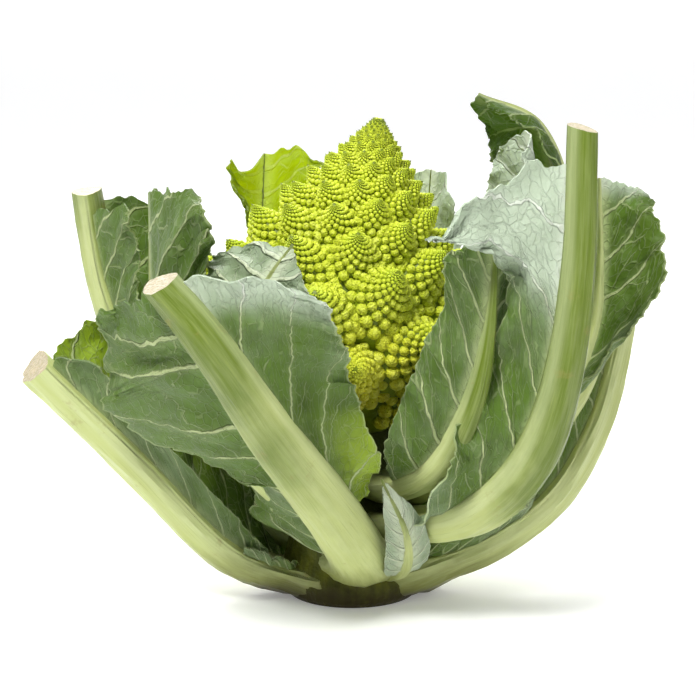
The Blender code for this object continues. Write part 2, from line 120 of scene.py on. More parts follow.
# %% Floor and backdrop
def white_plane(name, size, white, roughness, glow, **place):
    """A large white plane that isn't part of the plant. Glow is how strongly it shines itself."""
    bpy.ops.mesh.primitive_plane_add(size=size, **place)
    bpy.ops.object.transform_apply(location=True, rotation=True, scale=True)
    plane = bpy.context.object
    plane.name = name
    paint = bpy.data.materials.new(name + "_paint")
    paint.use_nodes = True
    sockets = paint.node_tree.nodes["Principled BSDF"].inputs
    sockets["Base Color"].default_value = (white, white, white, 1.0)
    sockets["Roughness"].default_value = roughness
    sockets["Emission Color"].default_value = (1.0, 1.0, 1.0, 1.0)
    sockets["Emission Strength"].default_value = glow
    plane.data.materials.append(paint)
    return plane


floor = white_plane("floor", 12, 0.92, 0.7, 0.2)
backdrop = white_plane("backdrop", 11, 0.9, 0.5, 1.5, location=(0, 5.0, 0), rotation=(math.radians(90), 0, 0))
print("stage:", floor.name, backdrop.name)

# %% [markdown]
# ## Writing a finish as sums
# A procedural finish is arithmetic: how far a point is from a vein, how high it is on a bud. Wiring
# such sums by hand is slow, so one small class holds a node's output and lets Python's own signs add
# the Math nodes. Every other node comes from a single method.

# %% Shader arithmetic
class Sum:
    """The output of a node. Python's signs on it add Math nodes in the same material."""

    def __init__(self, tree, output):
        self.tree = tree
        self.output = output

    def node(self, kind, settings=None, inputs=None, output=0):
        """Any node: its settings first, then the values or links of its sockets."""
        made = self.tree.nodes.new("ShaderNode" + kind)
        for name, value in (settings or {}).items():
            setattr(made, name, value)
        for name, value in (inputs or {}).items():
            self.feed(made.inputs[name], value)
        return Sum(self.tree, made.outputs[output])

    def feed(self, socket, value):
        if isinstance(value, Sum):
            self.tree.links.new(value.output, socket)
        else:
            socket.default_value = value

    def maths(self, operation, *values):
        return self.node("Math", {"operation": operation}, dict(enumerate(values)))

    def __add__(self, other):
        return self.maths("ADD", self, other)

    def __sub__(self, other):
        return self.maths("SUBTRACT", self, other)

    def __rsub__(self, other):
        return self.maths("SUBTRACT", other, self)

    def __mul__(self, other):
        return self.maths("MULTIPLY", self, other)

    def __truediv__(self, other):
        return self.maths("DIVIDE", self, other)

    def __pow__(self, other):
        return self.maths("POWER", self, other)

    __radd__ = __add__
    __rmul__ = __mul__

    def size(self):
        return self.maths("ABSOLUTE", self)

    def nearest(self):
        return self.maths("ROUND", self)

    def at_least(self, other):
        return self.maths("MAXIMUM", self, other)

    def rise(self, low, high):
        """0 below low, 1 above high and a smooth step between."""
        settings = {"interpolation_type": "SMOOTHSTEP"}
        return self.node("MapRange", settings, {"Value": self, "From Min": low, "From Max": high})

    def parts(self):
        """The three numbers of a vector."""
        made = self.tree.nodes.new("ShaderNodeSeparateXYZ")
        self.tree.links.new(self.output, made.inputs[0])
        return [Sum(self.tree, output) for output in made.outputs]

    def vector(self, x, y, z):
        return self.node("CombineXYZ", None, {"X": x, "Y": y, "Z": z})

    def noise(self, scale, detail=2.0, roughness=0.5):
        """Clouds of 0 to 1 over this vector."""
        inputs = {"Vector": self, "Scale": scale, "Detail": detail, "Roughness": roughness}
        return self.node("TexNoise", None, inputs)


# %% Mixing colours
def mixed(factor, first, second):
    """Colour first where the factor is 0, second where it is 1."""
    made = factor.tree.nodes.new("ShaderNodeMix")
    made.data_type = "RGBA"
    factor.feed(made.inputs[0], factor)
    for socket, colour in ((made.inputs[6], first), (made.inputs[7], second)):
        factor.feed(socket, colour if isinstance(colour, Sum) else (*colour, 1.0))
    return Sum(factor.tree, made.outputs[2])


# %% A finish
class Finish:
    """A new material with a Principled shader. Its fixed numbers go straight on the shader's sockets."""

    def __init__(self, name, **numbers):
        self.material = bpy.data.materials.new(name)
        self.material.use_nodes = True
        self.tree = self.material.node_tree
        self.shader = self.tree.nodes["Principled BSDF"]
        for socket, value in numbers.items():
            self.shader.inputs[socket.replace("_", " ")].default_value = value
        self.start = Sum(self.tree, None)

    def attribute(self, name):
        """A vector that the mesh carries at its points."""
        return self.start.node("Attribute", {"attribute_name": name}, None, "Vector")

    def place(self):
        """The point's place in the object, in metres."""
        return self.start.node("TexCoord", None, None, "Object")

    def wire(self, socket, value):
        self.start.feed(self.shader.inputs[socket], value)

    def relief(self, height, depth):
        """Raises the surface by height times depth in metres, without moving it."""
        inputs = {"Strength": 1.0, "Distance": depth, "Height": height}
        self.wire("Normal", self.start.node("Bump", None, inputs, "Normal"))

    def lit_through(self, share, colour):
        """Lets a share of the light through a thin leaf, tinted on its way."""
        through = self.tree.nodes.new("ShaderNodeBsdfTranslucent")
        through.inputs["Color"].default_value = (*colour, 1.0)
        both = self.tree.nodes.new("ShaderNodeMixShader")
        both.inputs[0].default_value = share
        self.tree.links.new(self.shader.outputs[0], both.inputs[1])
        self.tree.links.new(through.outputs[0], both.inputs[2])
        self.tree.links.new(both.outputs[0], self.tree.nodes["Material Output"].inputs["Surface"])

# %% [markdown]
# ## The finish of a leaf blade
# A blade is waxy: blue-grey over a fresh green, in soft clouds. Its veins are pale and stand out on
# the outer face. Each side vein leaves the rib, bends up to the margin and sends out branches, and a
# net of fine veins fills what is left. The mesh carries, at each point, a count that is a whole
# number on every side vein, so the distance to a vein is a small sum and its line stays sharp at any
# size of mesh. The branches are rows of slanting lines between two veins, and the net is a Voronoi
# pattern's cell borders.

# %% The veins of a blade, in millimetres
MAIN_VEIN_WIDTH = 1.15
BRANCH_WIDTH = 0.34
BRANCH_SLOPE = 0.85
NET_WIDTH = 0.2
NET_CELL = 4.5


def branch_lines(gap, across, spacing, chance, side):
    """How far, in millimetres, a point is from the branches on one side of its vein."""
    apart = spacing * (0.8 + 0.6 * chance)
    row = (across - gap / BRANCH_SLOPE) / apart + side * 0.37 + 3.1 * chance
    return (row - row.nearest()).size() * apart * math.sin(math.atan(BRANCH_SLOPE))


def vein_lines(paint, count, across, spacing, out):
    """Main veins, branches and net, each 1 on a line and 0 beside it, and the gap to the main vein."""
    vein = count.nearest()
    gap = (count - vein) * spacing
    chance = paint.start.node("TexWhiteNoise", {"noise_dimensions": "1D"}, {"W": vein + 7.3}, "Value")
    main = 1.0 - (gap.size() / (MAIN_VEIN_WIDTH - out * 0.8)).rise(0.55, 1.3)
    above = gap.maths("GREATER_THAN", gap, 0.0)
    upper = branch_lines(gap.size(), across, spacing, chance, 1.0)
    lower = branch_lines(gap.size(), across + spacing * 0.3, spacing, chance, -1.0)
    branch = upper * above + lower * (1.0 - above)
    side = (1.0 - (branch / BRANCH_WIDTH).rise(0.5, 1.5)) * across.rise(4.0, 9.0)
    flat = gap.vector(gap, across, vein * 9.0)
    bend = paint.place().noise(220.0, 2.0)
    bent = flat.node("VectorMath", {"operation": "ADD"}, {0: flat, 1: bend}, "Vector")
    inputs = {"Vector": bent, "Scale": 1.0 / NET_CELL}
    cells = bent.node("TexVoronoi", {"feature": "DISTANCE_TO_EDGE"}, inputs, "Distance")
    net = 1.0 - (cells * NET_CELL / NET_WIDTH).rise(0.3, 1.4)
    return main, side, net, gap.size()


# %% [markdown]
# The colours follow the wax and painted light that the mesh carries: silver where the wax lies thick,
# and also as a painted sheen where a blade faces the light, and a painted yellow-green glow that stands
# for light shining through the blade where the leaf has no wax. The small veins drown in the silver. A
# blade is thin, so some of the light passes through it, and the young inner ones glow most.

# %% Blade finish
SILVER_WAX_AND_SHEEN = (0.57, 0.67, 0.50)
DEEP_GREEN = (0.085, 0.155, 0.010)
PAINTED_GLOW_GREEN = (0.30, 0.43, 0.015)
VEIN = (0.50, 0.58, 0.27)
VEIN_UNDER_WAX_AND_SHEEN = (0.86, 0.92, 0.78)
SPECK = (0.10, 0.13, 0.03)
BLADE_RELIEF = 0.0010


def blade_finish(name, fresh, waxy, wax, glow, glow_share):
    """A blade's finish. wax says how much of it the blue-grey bloom covers."""
    paint = Finish(name, Roughness=0.5, Specular_IOR_Level=0.35, Sheen_Weight=0.08)
    count, across, spacing = paint.attribute("vein_place").parts()
    out, _, wax_and_painted_light = paint.attribute("leaf_place").parts()
    cloud = paint.place().noise(55.0, 3.0)
    waver = paint.place().noise(160.0, 2.0)
    main, side, net, gap = vein_lines(paint, count + (waver - 0.5) * 0.12, across, spacing, out)
    # silver: the wax bloom, and also a painted sheen where the blade faces the light
    wax_and_sheen = (wax_and_painted_light + (cloud - 0.5) * 0.25).rise(0.15, 1.0)
    small_veins = (side * 0.5).at_least(net * 0.22) * (1.0 - wax_and_sheen * 0.7)
    veins = main.at_least(small_veins)
    covered = (cloud + (waver - 0.5) * 0.5 + wax - 0.5 + wax_and_painted_light * 0.5).rise(0.3, 0.7)
    green = mixed(wax_and_sheen, mixed(covered, fresh, waxy), SILVER_WAX_AND_SHEEN)
    # below 0 the blade first turns its own deep green; further below it is painted bright yellow-green, a
    # painted glow of light shining through it
    deep_green_and_painted_glow = wax_and_painted_light * (out * -0.8 - 0.35) + (cloud - 0.5) * 0.3
    green = mixed(deep_green_and_painted_glow.rise(0.05, 0.5), green, DEEP_GREEN)
    green = mixed(deep_green_and_painted_glow.rise(0.55, 1.05), green, PAINTED_GLOW_GREEN)
    mottled = paint.place().noise(95.0, 4.0, 0.6).rise(0.4, 0.72)
    dark = mixed(mottled * (1.0 - wax_and_sheen) * 0.5, green, tuple(c * 0.5 for c in fresh))
    halo = (1.0 - (gap / 4.5).rise(0.0, 1.0)) * (1.0 - out * 0.6)
    near_rib = 1.0 - (across / 7.0).rise(0.15, 1.0)
    margin = out.rise(0.975, 0.995)
    pale = veins.at_least(near_rib * 0.75).at_least(margin * 0.6).at_least(halo * 0.22)
    shade = mixed(pale, dark, mixed(wax_and_sheen, VEIN, VEIN_UNDER_WAX_AND_SHEEN))
    speck = paint.place().noise(900.0, 2.0).rise(0.71, 0.76) * 0.35
    paint.wire("Base Color", mixed(speck, shade, SPECK))
    paint.wire("Roughness", 0.44 + cloud * 0.16)
    grain = paint.place().noise(1500.0, 2.0)
    height = main + side * 0.45 + net * 0.3
    pucker = paint.place().noise(230.0, 2.0)
    paint.relief(height + grain * 0.1 + pucker * 1.2, BLADE_RELIEF)
    paint.lit_through(glow_share, glow)
    return paint.material


# %% [markdown]
# ## The finish of a rib and of its cut end
# A rib is a bundle of long fibres under a thin skin, so its colour and its relief run along it in
# streaks: noise is stretched by reading it finely round the rib and coarsely along it. It is pale
# where it was covered and greener towards its top. Near the stump it is stained, and where it is
# tucked in between its neighbours it is painted dark, as painted shade. The cut end is bare, moist
# flesh with the ends of the fibres.

# %% Rib finish
RIB_PALE = (0.51, 0.57, 0.20)
RIB_GREEN = (0.12, 0.18, 0.008)
RIB_LIGHT_STREAK = (0.60, 0.66, 0.32)
RIB_DARK_LINE = (0.26, 0.33, 0.05)
RIB_EDGE = (0.62, 0.68, 0.38)
RIB_FOOT = (0.17, 0.18, 0.03)
RIB_PAINTED_SHADE = (0.05, 0.065, 0.008)
RIB_STAIN = (0.05, 0.04, 0.008)
RIB_BRUISE = (0.30, 0.25, 0.07)
RIB_RELIEF = 0.0006


def rib_finish():
    paint = Finish("leaf_rib", Roughness=0.38, Specular_IOR_Level=0.45)
    round_rib, along, _ = paint.attribute("vein_place").parts()
    edge, up, greenness = paint.attribute("leaf_place").parts()
    streaks = round_rib.vector(round_rib * 26.0, along * 0.035, 0.0).noise(1.0, 4.0, 0.6)
    fine = round_rib.vector(round_rib * 90.0, along * 0.05, 3.0).noise(1.0, 2.0)
    cloud = paint.place().noise(38.0, 3.0)
    greener = ((up - 0.25) * 1.6 * greenness + (cloud - 0.5) * 0.8 - edge * 0.3).rise(0.0, 0.8)
    base = mixed(greener, RIB_PALE, RIB_GREEN)
    light_streaks = (streaks * 1.3 + fine * 0.5).rise(0.65, 1.2) * (0.4 - greener * 0.22)
    streaked = mixed(light_streaks, base, RIB_LIGHT_STREAK)
    lined = mixed(fine.rise(0.56, 0.74) * 0.4, streaked, RIB_DARK_LINE)
    rimmed = mixed(edge.rise(0.6, 0.95) * 0.3, lined, RIB_EDGE)
    x, y, z = paint.place().parts()
    root = 1.0 - (z + (cloud - 0.5) * 0.012 + (streaks - 0.5) * 0.02).rise(0.004, 0.03)
    rooted = mixed(root * 0.85, rimmed, RIB_FOOT)
    reach = (x * x + y * y) ** 0.5
    # painted shade: the rib is painted darker close to the stem's axis and low down, where its neighbours
    # crowd round it
    painted_shade_near_stem = (1.0 - reach.rise(0.026, 0.052)) * z.rise(0.014, 0.03) * (1.0 - z.rise(0.05, 0.09))
    rooted = mixed(painted_shade_near_stem * 0.85, rooted, RIB_PAINTED_SHADE)
    stained = 1.0 - (z + (cloud - 0.5) * 0.012 + (fine - 0.5) * 0.004).rise(0.0, 0.011)
    rooted = mixed(stained * 0.9, rooted, RIB_STAIN)
    bruise = paint.place().noise(75.0, 4.0, 0.65).rise(0.61, 0.70) * 0.35
    paint.wire("Base Color", mixed(bruise, rooted, RIB_BRUISE))
    paint.wire("Roughness", 0.34 + streaks * 0.14)
    paint.relief(streaks + fine * 0.4 + cloud * 0.6, RIB_RELIEF)
    return paint.material


# %% Cut finish
CUT_RELIEF = 0.0008


def cut_finish():
    paint = Finish("leaf_cut", Roughness=0.42, Specular_IOR_Level=0.5)
    fibres = paint.place().noise(700.0, 2.0)
    cloud = paint.place().noise(180.0, 2.0)
    flesh = mixed(fibres.rise(0.45, 0.65), (0.40, 0.34, 0.19), (0.51, 0.43, 0.29))
    paint.wire("Base Color", mixed(cloud.rise(0.5, 0.75) * 0.5, flesh, (0.55, 0.45, 0.25)))
    paint.relief(fibres + cloud, CUT_RELIEF)
    return paint.material


# %% The finishes that leaves use
BLADE, RIB, CUT = range(3)
leaf_rib = rib_finish()
leaf_cut = cut_finish()
blade_waxy = blade_finish(
    "leaf_blade_waxy", fresh=(0.10, 0.19, 0.015), waxy=(0.14, 0.222, 0.062), wax=0.42,
    glow=(0.30, 0.48, 0.01), glow_share=0.16,
)
blade_fresh = blade_finish(
    "leaf_blade_fresh", fresh=(0.27, 0.38, 0.004), waxy=(0.32, 0.44, 0.02), wax=0.2,
    glow=(0.80, 0.90, 0.003), glow_share=0.5,
)
blade_dark = blade_finish(
    "leaf_blade_dark", fresh=(0.065, 0.14, 0.004), waxy=(0.10, 0.19, 0.015), wax=0.2,
    glow=(0.34, 0.52, 0.003), glow_share=0.3,
)
print("leaf finishes:", blade_waxy.name, blade_fresh.name, blade_dark.name, leaf_rib.name, leaf_cut.name)

# %% [markdown]
# ## How a leaf is described
# A leaf is a rib with a blade on each side. The rib follows a smooth curve through a few points, each
# an azimuth round the plant, a distance from its axis and a height. A blade is drawn in columns that
# run from the rib to the margin: each column leaves the rib at an angle, curls in towards the head
# and has its own length. Nearly all of these values are the ones that the model is made from. What
# the model is too coarse for is added: where the side veins leave the rib and meet the margin, how
# ragged and frilled the margin is, and how much the blade swells between its veins.

# %% A blade and a leaf as values
VEIN_STARTS = (0.02, 0.14, 0.28, 0.43, 0.58, 0.74, 0.90)
VEIN_ENDS = (0.10, 0.27, 0.44, 0.61, 0.77, 0.92, 1.08)


class Blade(NamedTuple):
    """One side of a leaf's blade. Every list is read at even steps from its lowest column to the topmost."""

    root: tuple = (0.36, 1.0)  # shares of the rib's length where the first and last columns leave it
    margin: tuple = (0.42, 1.0)  # shares that they reach at the margin
    width: tuple = (6, 30, 40, 36)  # millimetres from the rib's edge out to the margin
    lift: tuple = (10,)  # degrees that a column leaves the rib turned in towards the head
    cup: tuple = (45,)  # degrees more that it has turned in by the margin
    ruffle: tuple = (3.0, 2.6, 0)  # millimetres, waves along the margin, and the phase in degrees
    fold: tuple = (1.0, 1.0, 0)  # shares where the top bends over, at rib and margin, and degrees
    bow: float = 0.0  # share of the rib's length by which the topmost column rises midway
    veins: tuple = VEIN_STARTS  # columns where the side veins leave the rib
    ends: tuple = VEIN_ENDS  # columns where they meet the margin
    frill: float = 1.4  # millimetres of fine waves along the margin
    torn: float = 0.012  # how far the top edge wanders, as a share of the rib's length
    round: float = 0.05  # how far its corner at the margin is rounded off, as such a share
    wax_and_painted_light: tuple = (0.0,)  # 1 where it is pale with wax and painted sheen, -1 where it is painted bright yellow-green as a glow of light shining through
    ragged: float = 0.05  # how uneven the margin is, as a share of the width
    swell: float = 2.2  # millimetres that the blade swells between two veins


class Leaf(NamedTuple):
    """A leaf: a tapering rib through points, with a blade on each side."""

    rib: tuple
    width: tuple
    depth: tuple
    left: Blade = Blade()
    right: Blade = Blade()
    roll: tuple = (0,)
    cell: float = 1.7  # millimetres between the points of its blade
    finish: str = "leaf_blade_waxy"
    tip: float = 1.0  # how much of the rib is left at the top, as a share: 1 where it was cut off
    thins_from: float = 0.45  # share of the rib's length from which it thins
    green: float = 0.5  # how green the rib turns towards its top
    wings: tuple = (8.0, 8.0)  # millimetres that the strips along its stalk stand out, left and right
    cut: tuple = (0.0, 0.0, 0.0)  # the way its cut face looks, as x, y and z, or straight along the rib
    ridges: float = 0.024  # how deep the furrows along its stalk are, as a share of its width
    sheath: float = 0.5  # how much wider the stalk is where it clasps the stem, as a share


# %% [markdown]
# ## The leaves
# The thick outer leaves open all round, and thinner inner ones still stand close to the head. The
# outer ones were cut short, so most of their ribs end in a flat face, and the inner ones keep their
# tips. One small bract is left at the front. Azimuth 0 is the right side and -90 the front.

# %% The values of the leaves
LEAVES = {
    "leaf_front": Leaf(
        rib=(
            (-77, 18, 22), (-85, 37, 28), (-99, 64, 57), (-112, 92, 97), (-120, 110, 131), (-131, 119, 161),
        ),
        width=(27, 27, 25, 20, 16),
        depth=(11, 13, 12, 11),
        green=0.95, wings=(38, 0), sheath=0.5, cut=(-0.47, -0.22, 0.86),
        roll=(0, 6, 12, 14),
        left=Blade(
            root=(0.44, 0.99), margin=(0.48, 0.51, 0.56, 0.70, 0.88, 0.98, 1.04),
            width=(10, 28, 50, 67, 74, 63, 44), lift=(8,), cup=(20, 20, 20, 23, 23, 20),
            ruffle=(2.5, 2.2, 40), veins=(0.03, 0.17, 0.32, 0.63, 0.80), ends=(0.10, 0.34, 0.50, 0.80, 0.91),
            wax_and_painted_light=(-0.2, -0.1, 0.1, 0.0), round=0.0, swell=2.8,
        ),
        right=Blade(
            root=(0.38, 0.97), margin=(0.38, 0.43, 0.53, 0.63, 0.72, 0.80),
            width=(4, 16, 24, 32, 38, 40), lift=(2,), cup=(30,), fold=(0.93, 0.86, 90),
            ruffle=(1.5, 2.0, 200), veins=(0.02, 0.12, 0.30, 0.65), ends=(0.30, 0.72, 1.13, 1.41), torn=0.01,
            # the silver top band is wax and a painted sheen where the fold faces the light; the low part is a
            # painted glow of light shining through
            wax_and_painted_light=(-1.2, -1.2, -1.1, -0.9, -0.6, -0.05, 0.25, 0.15, 0.65, 1.2), round=0.0, swell=2.8,
        ),
    ),
    "leaf_left": Leaf(
        rib=((192, 18, 12), (192, 36, 14), (192, 61, 28), (190, 97, 68), (189, 139, 112)),
        width=(24, 26, 24, 22),
        depth=(10, 12, 12, 12),
        green=0.05, wings=(10, 4), sheath=1.0, ridges=0.05, cut=(-0.68, -0.28, 0.68),
        left=Blade(
            root=(0.22, 0.98), margin=(0.30, 0.62, 0.84, 1.0), width=(14, 34, 43, 38),
            # the bright yellow-green here is a painted glow of light shining through this far blade
            lift=(30, 30, 20), cup=(50, 60, 75), ruffle=(2.0, 2.4, 90), wax_and_painted_light=(-0.4, -0.9, -1.6),
        ),
        right=Blade(
            root=(0.30, 0.98), margin=(0.34, 0.98), width=(2, 7, 8, 8, 12),
            lift=(70,), cup=(20,), ruffle=(1.0, 3.0, 0), wax_and_painted_light=(0.3,),
        ),
    ),
    "leaf_back_left": Leaf(
        rib=((152, 18, 26), (153, 40, 33), (157, 78, 66), (157, 106, 98), (156, 124, 132), (155, 134, 176)),
        width=(23, 22, 19, 15),
        depth=(11, 13, 12, 10),
        green=0.55, wings=(8, 0), cut=(-0.1, -0.12, 1.0),
        left=Blade(
            root=(0.30, 0.98), margin=(0.38, 0.96), width=(6, 36, 48, 40),
            lift=(20,), cup=(45,), ruffle=(3.0, 2.3, 10),
        ),
        right=Blade(
            root=(0.42, 0.95), margin=(0.50, 1.0), width=(4, 20, 26, 30),
            lift=(55,), cup=(20,), ruffle=(2.0, 2.0, 120),
        ),
    ),
    "leaf_left_inner": Leaf(
        rib=((234, 18, 46), (232, 38, 50), (222, 60, 70), (205, 80, 100), (192, 89, 132), (183, 90, 184)),
        width=(20, 17, 13, 8),
        depth=(8, 8, 7, 4),
        tip=0.12, thins_from=0.2, wings=(20, 16),
        left=Blade(width=(4, 18, 24, 22), lift=(30,), cup=(40,), ruffle=(2.0, 2.2, 60)),
        right=Blade(
            root=(0.30, 1.0), margin=(0.36, 0.56, 0.74, 0.87, 0.94, 0.985), width=(8, 12, 28, 44, 53, 44),
            lift=(5,), cup=(30, 45, 50), ruffle=(2.5, 2.6, 0), wax_and_painted_light=(0.3, 0.0, -0.1),
            round=0.0, torn=0.008, ragged=0.03,
        ),
    ),
    "leaf_front_inner": Leaf(
        rib=((250, 18, 60), (249, 42, 66), (244, 69, 92), (239, 80, 126), (241, 76, 153), (247, 64, 170)),
        width=(14, 11, 7, 4),
        depth=(7, 6, 4, 3),
        tip=0.3, thins_from=0.3, wings=(14, 14),
        left=Blade(
            root=(0.4, 0.98), margin=(0.5, 0.92), width=(2, 15, 24, 36, 40, 34),
            lift=(6,), cup=(20,), ruffle=(1, 2.2, 0), wax_and_painted_light=(0.3, 0.6),
        ),
        right=Blade(
            root=(0.4, 0.98), margin=(0.5, 1.0), width=(2, 14, 18, 17, 4),
            lift=(10,), cup=(40,), ruffle=(1, 2.6, 90), wax_and_painted_light=(0.3, 0.6),
        ),
    ),
    "leaf_right_inner": Leaf(
        rib=((-61, 18, 58), (-61, 40, 60), (-57, 68, 76), (-51, 80, 104), (-47, 84, 136), (-43, 82, 166)),
        width=(18, 13, 10, 6),
        depth=(8, 9, 8, 5),
        green=1.6, wings=(0, 0),
        tip=0.45, thins_from=0.5,
        left=Blade(
            root=(0.24, 1.0), margin=(0.31, 0.40, 0.57, 0.72, 0.86, 1.00, 1.05),
            width=(10, 21, 24, 23, 19, 22, 14), lift=(12, 14, 12, 8), cup=(30, 45, 50, 40, 20, 15),
            ruffle=(1.5, 2.8, 30), wax_and_painted_light=(0.15,),
        ),
        right=Blade(
            root=(0.44, 0.98), margin=(0.48, 0.62, 0.8, 0.98), width=(10, 24, 24, 17),
            lift=(5,), cup=(25,), ruffle=(1.0, 2.4, 0), wax_and_painted_light=(0.1,),
        ),
    ),
    "leaf_right": Leaf(
        rib=(
            (-44, 18, 40), (-46, 40, 43), (-43, 72, 54), (-39, 95, 78), (-36, 106, 112), (-33, 110, 160),
            (-30, 108, 220),
        ),
        width=(24, 25, 24, 19, 14, 10.5),
        depth=(10, 13, 14, 12, 10),
        green=1.9, wings=(0, 6), sheath=0.4, cut=(0.22, -0.12, 1.0),
        left=Blade(
            root=(0.16, 0.955), margin=(0.19, 0.32, 0.44, 0.55, 0.65, 0.74, 0.83, 0.86, 0.86),
            width=(5, 16, 22, 24, 24, 22, 24, 46, 60), lift=(-15, 0, 25, 42, 55, 60, 52, 45, 45),
            cup=(15, 15, 15, 15, 15, 0, -10),
            ruffle=(2.0, 5, 0), bow=0.015,
            # the flap's silver top is wax and a painted sheen where it faces the light
            wax_and_painted_light=(0.4, 0.4, 0.0, -0.1, 0.0, 0.3, 1.1, 1.3), round=0.0, ragged=0.09,
        ),
        right=Blade(
            root=(0.40, 0.96), margin=(0.46, 0.95), width=(2, 8, 12, 12),
            lift=(50,), cup=(40,), ruffle=(1, 2, 0),
        ),
    ),
    "leaf_right_middle": Leaf(
        rib=(
            (-18, 18, 50), (-16, 42, 56), (-8, 74, 69), (1, 97, 92), (6, 110, 120), (7, 113, 152),
            (7, 112, 188),
        ),
        width=(20, 18, 15, 8),
        depth=(8, 10, 9, 5),
        tip=0.4, thins_from=0.5,
        left=Blade(
            root=(0.34, 1.0), margin=(0.42, 0.58, 0.71, 0.83, 0.94, 1.0), width=(6, 27, 33, 32, 26, 20),
            lift=(20, -20, -50, -60), cup=(10, 10, 0, -10), ruffle=(2, 2.2, 0),
            wax_and_painted_light=(-0.5, -0.6, -0.5, -0.4, -0.4, -0.4, 0.9),
            veins=(0.02, 0.18, 0.36, 0.60, 0.73, 0.88), ends=(0.10, 0.36, 0.58, 0.70, 0.88, 1.02),
        ),
        right=Blade(
            root=(0.42, 1.0), margin=(0.48, 1.0), width=(2, 8, 10, 8),
            lift=(30,), cup=(30,), ruffle=(1, 2.4, 70),
        ),
    ),
    "leaf_right_outer": Leaf(
        rib=(
            (-6, 18, 14), (-5, 36, 17), (0, 62, 26), (5, 90, 46), (11, 110, 74), (16, 122, 102),
            (20, 131, 130), (21, 132, 158),
        ),
        width=(24, 26, 24, 18),
        depth=(11, 13, 12, 10),
        green=0.2, wings=(12, 12), sheath=1.0, ridges=0.05,
        left=Blade(
            root=(0.24, 0.7), margin=(0.28, 0.66), width=(3, 8, 7, 4),
            lift=(60,), cup=(20,), ruffle=(1, 3, 0),
        ),
        right=Blade(
            root=(0.34, 1.0), margin=(0.42, 1.0), width=(6, 28, 38, 32),
            lift=(12,), cup=(45,), ruffle=(3, 2.4, 70), bow=0.04,
        ),
    ),
    "leaf_back_right": Leaf(
        rib=(
            (50, 18, 28), (49, 42, 38), (46, 74, 68), (40, 102, 112), (33, 116, 165), (36, 108, 205),
            (47, 86, 220),
        ),
        width=(22, 19, 15, 7),
        depth=(11, 12, 9, 5),
        tip=0.3, thins_from=0.4, finish="leaf_blade_dark",
        left=Blade(width=(4, 14, 16, 20, 20, 12), lift=(15,), cup=(30,), ruffle=(2, 2.5, 20)),
        right=Blade(
            root=(0.36, 1.0), margin=(0.45, 0.62, 0.80, 0.90, 0.98), width=(5, 14, 20, 28, 30, 22),
            lift=(20,), cup=(25,), ruffle=(2.0, 2.2, 80),
        ),
    ),
    "leaf_back": Leaf(
        rib=((101, 18, 24), (101, 40, 33), (101, 78, 66), (100, 104, 100), (99, 114, 142)),
        width=(22, 22, 20, 16),
        depth=(11, 13, 12, 10),
        left=Blade(
            root=(0.30, 1.0), width=(5, 32, 44, 36), lift=(15,), cup=(45,), ruffle=(3, 2.5, 0), bow=0.05,
        ),
        right=Blade(
            root=(0.30, 1.0), width=(5, 32, 46, 38), lift=(15,), cup=(50,), ruffle=(3, 2.3, 140), bow=0.05,
        ),
    ),
    "leaf_back_left_inner": Leaf(
        rib=((126, 18, 60), (126, 42, 66), (124, 70, 92), (122, 82, 130), (121, 80, 192)),
        width=(17, 14, 10, 5),
        depth=(7, 8, 6, 3),
        tip=0.2, thins_from=0.3, finish="leaf_blade_fresh",
        left=Blade(
            root=(0.70, 1.0), margin=(0.76, 1.04), width=(4, 20, 28, 26), lift=(15,), cup=(40,),
            ruffle=(2, 2.4, 0),
        ),
        right=Blade(
            root=(0.74, 1.0), margin=(0.79, 0.88, 0.95, 1.0), width=(3, 12, 20, 25), lift=(10,), cup=(25,),
            ruffle=(2, 1.2, 100), bow=-0.03, round=0.0, torn=0.0,
        ),
    ),
    "leaf_back_right_inner": Leaf(
        rib=((78, 18, 60), (76, 42, 66), (70, 70, 92), (66, 82, 130), (62, 80, 184)),
        width=(17, 14, 10, 5),
        depth=(7, 8, 6, 3),
        tip=0.3, thins_from=0.3,
        left=Blade(width=(4, 20, 26, 24), lift=(15,), cup=(40,), ruffle=(2, 2.4, 50), wax_and_painted_light=(0.3, 0.7, 1.1)),
        right=Blade(width=(4, 18, 24, 20), lift=(15,), cup=(40,), ruffle=(2, 2.2, 0), wax_and_painted_light=(0.3, 0.7, 1.1)),
    ),
    "leaf_far_right_inner": Leaf(
        rib=((24, 18, 62), (24, 42, 68), (24, 72, 94), (24, 87, 130), (22, 90, 172), (20, 86, 206)),
        width=(17, 14, 9, 4),
        depth=(7, 7, 5, 2),
        tip=0.3, thins_from=0.3,
        left=Blade(
            root=(0.24, 1.0), margin=(0.28, 1.0), width=(8, 20, 24, 22, 16),
            lift=(15,), cup=(40,), ruffle=(1.5, 2.4, 50), wax_and_painted_light=(0.3, 0.7, 1.1),
        ),
        right=Blade(
            width=(4, 16, 22, 24, 16), lift=(15,), cup=(40,), ruffle=(1.5, 2.2, 0), wax_and_painted_light=(0.3, 0.7, 1.1),
        ),
    ),
    "leaf_bract": Leaf(
        rib=((-55, 22, 12), (-59, 45, 21), (-68, 62, 43), (-80, 70, 71)),
        width=(6, 5, 2.4),
        depth=(3, 2.4, 1.2),
        wings=(0, 0),
        tip=0.5, thins_from=0.3,
        left=Blade(
            root=(0.25, 0.96), margin=(0.22, 0.98), width=(3, 8, 8, 6, 1),
            lift=(0,), cup=(10,), ruffle=(0.5, 1.5, 0), wax_and_painted_light=(0.6,), swell=0.5, frill=0.4,
        ),
        right=Blade(
            root=(0.25, 0.96), margin=(0.22, 0.98), width=(3, 8, 8, 6, 1),
            lift=(0,), cup=(10,), ruffle=(0.5, 1.5, 0), wax_and_painted_light=(0.6,), swell=0.5, frill=0.4,
        ),
    ),
}
print(len(LEAVES), "leaves")

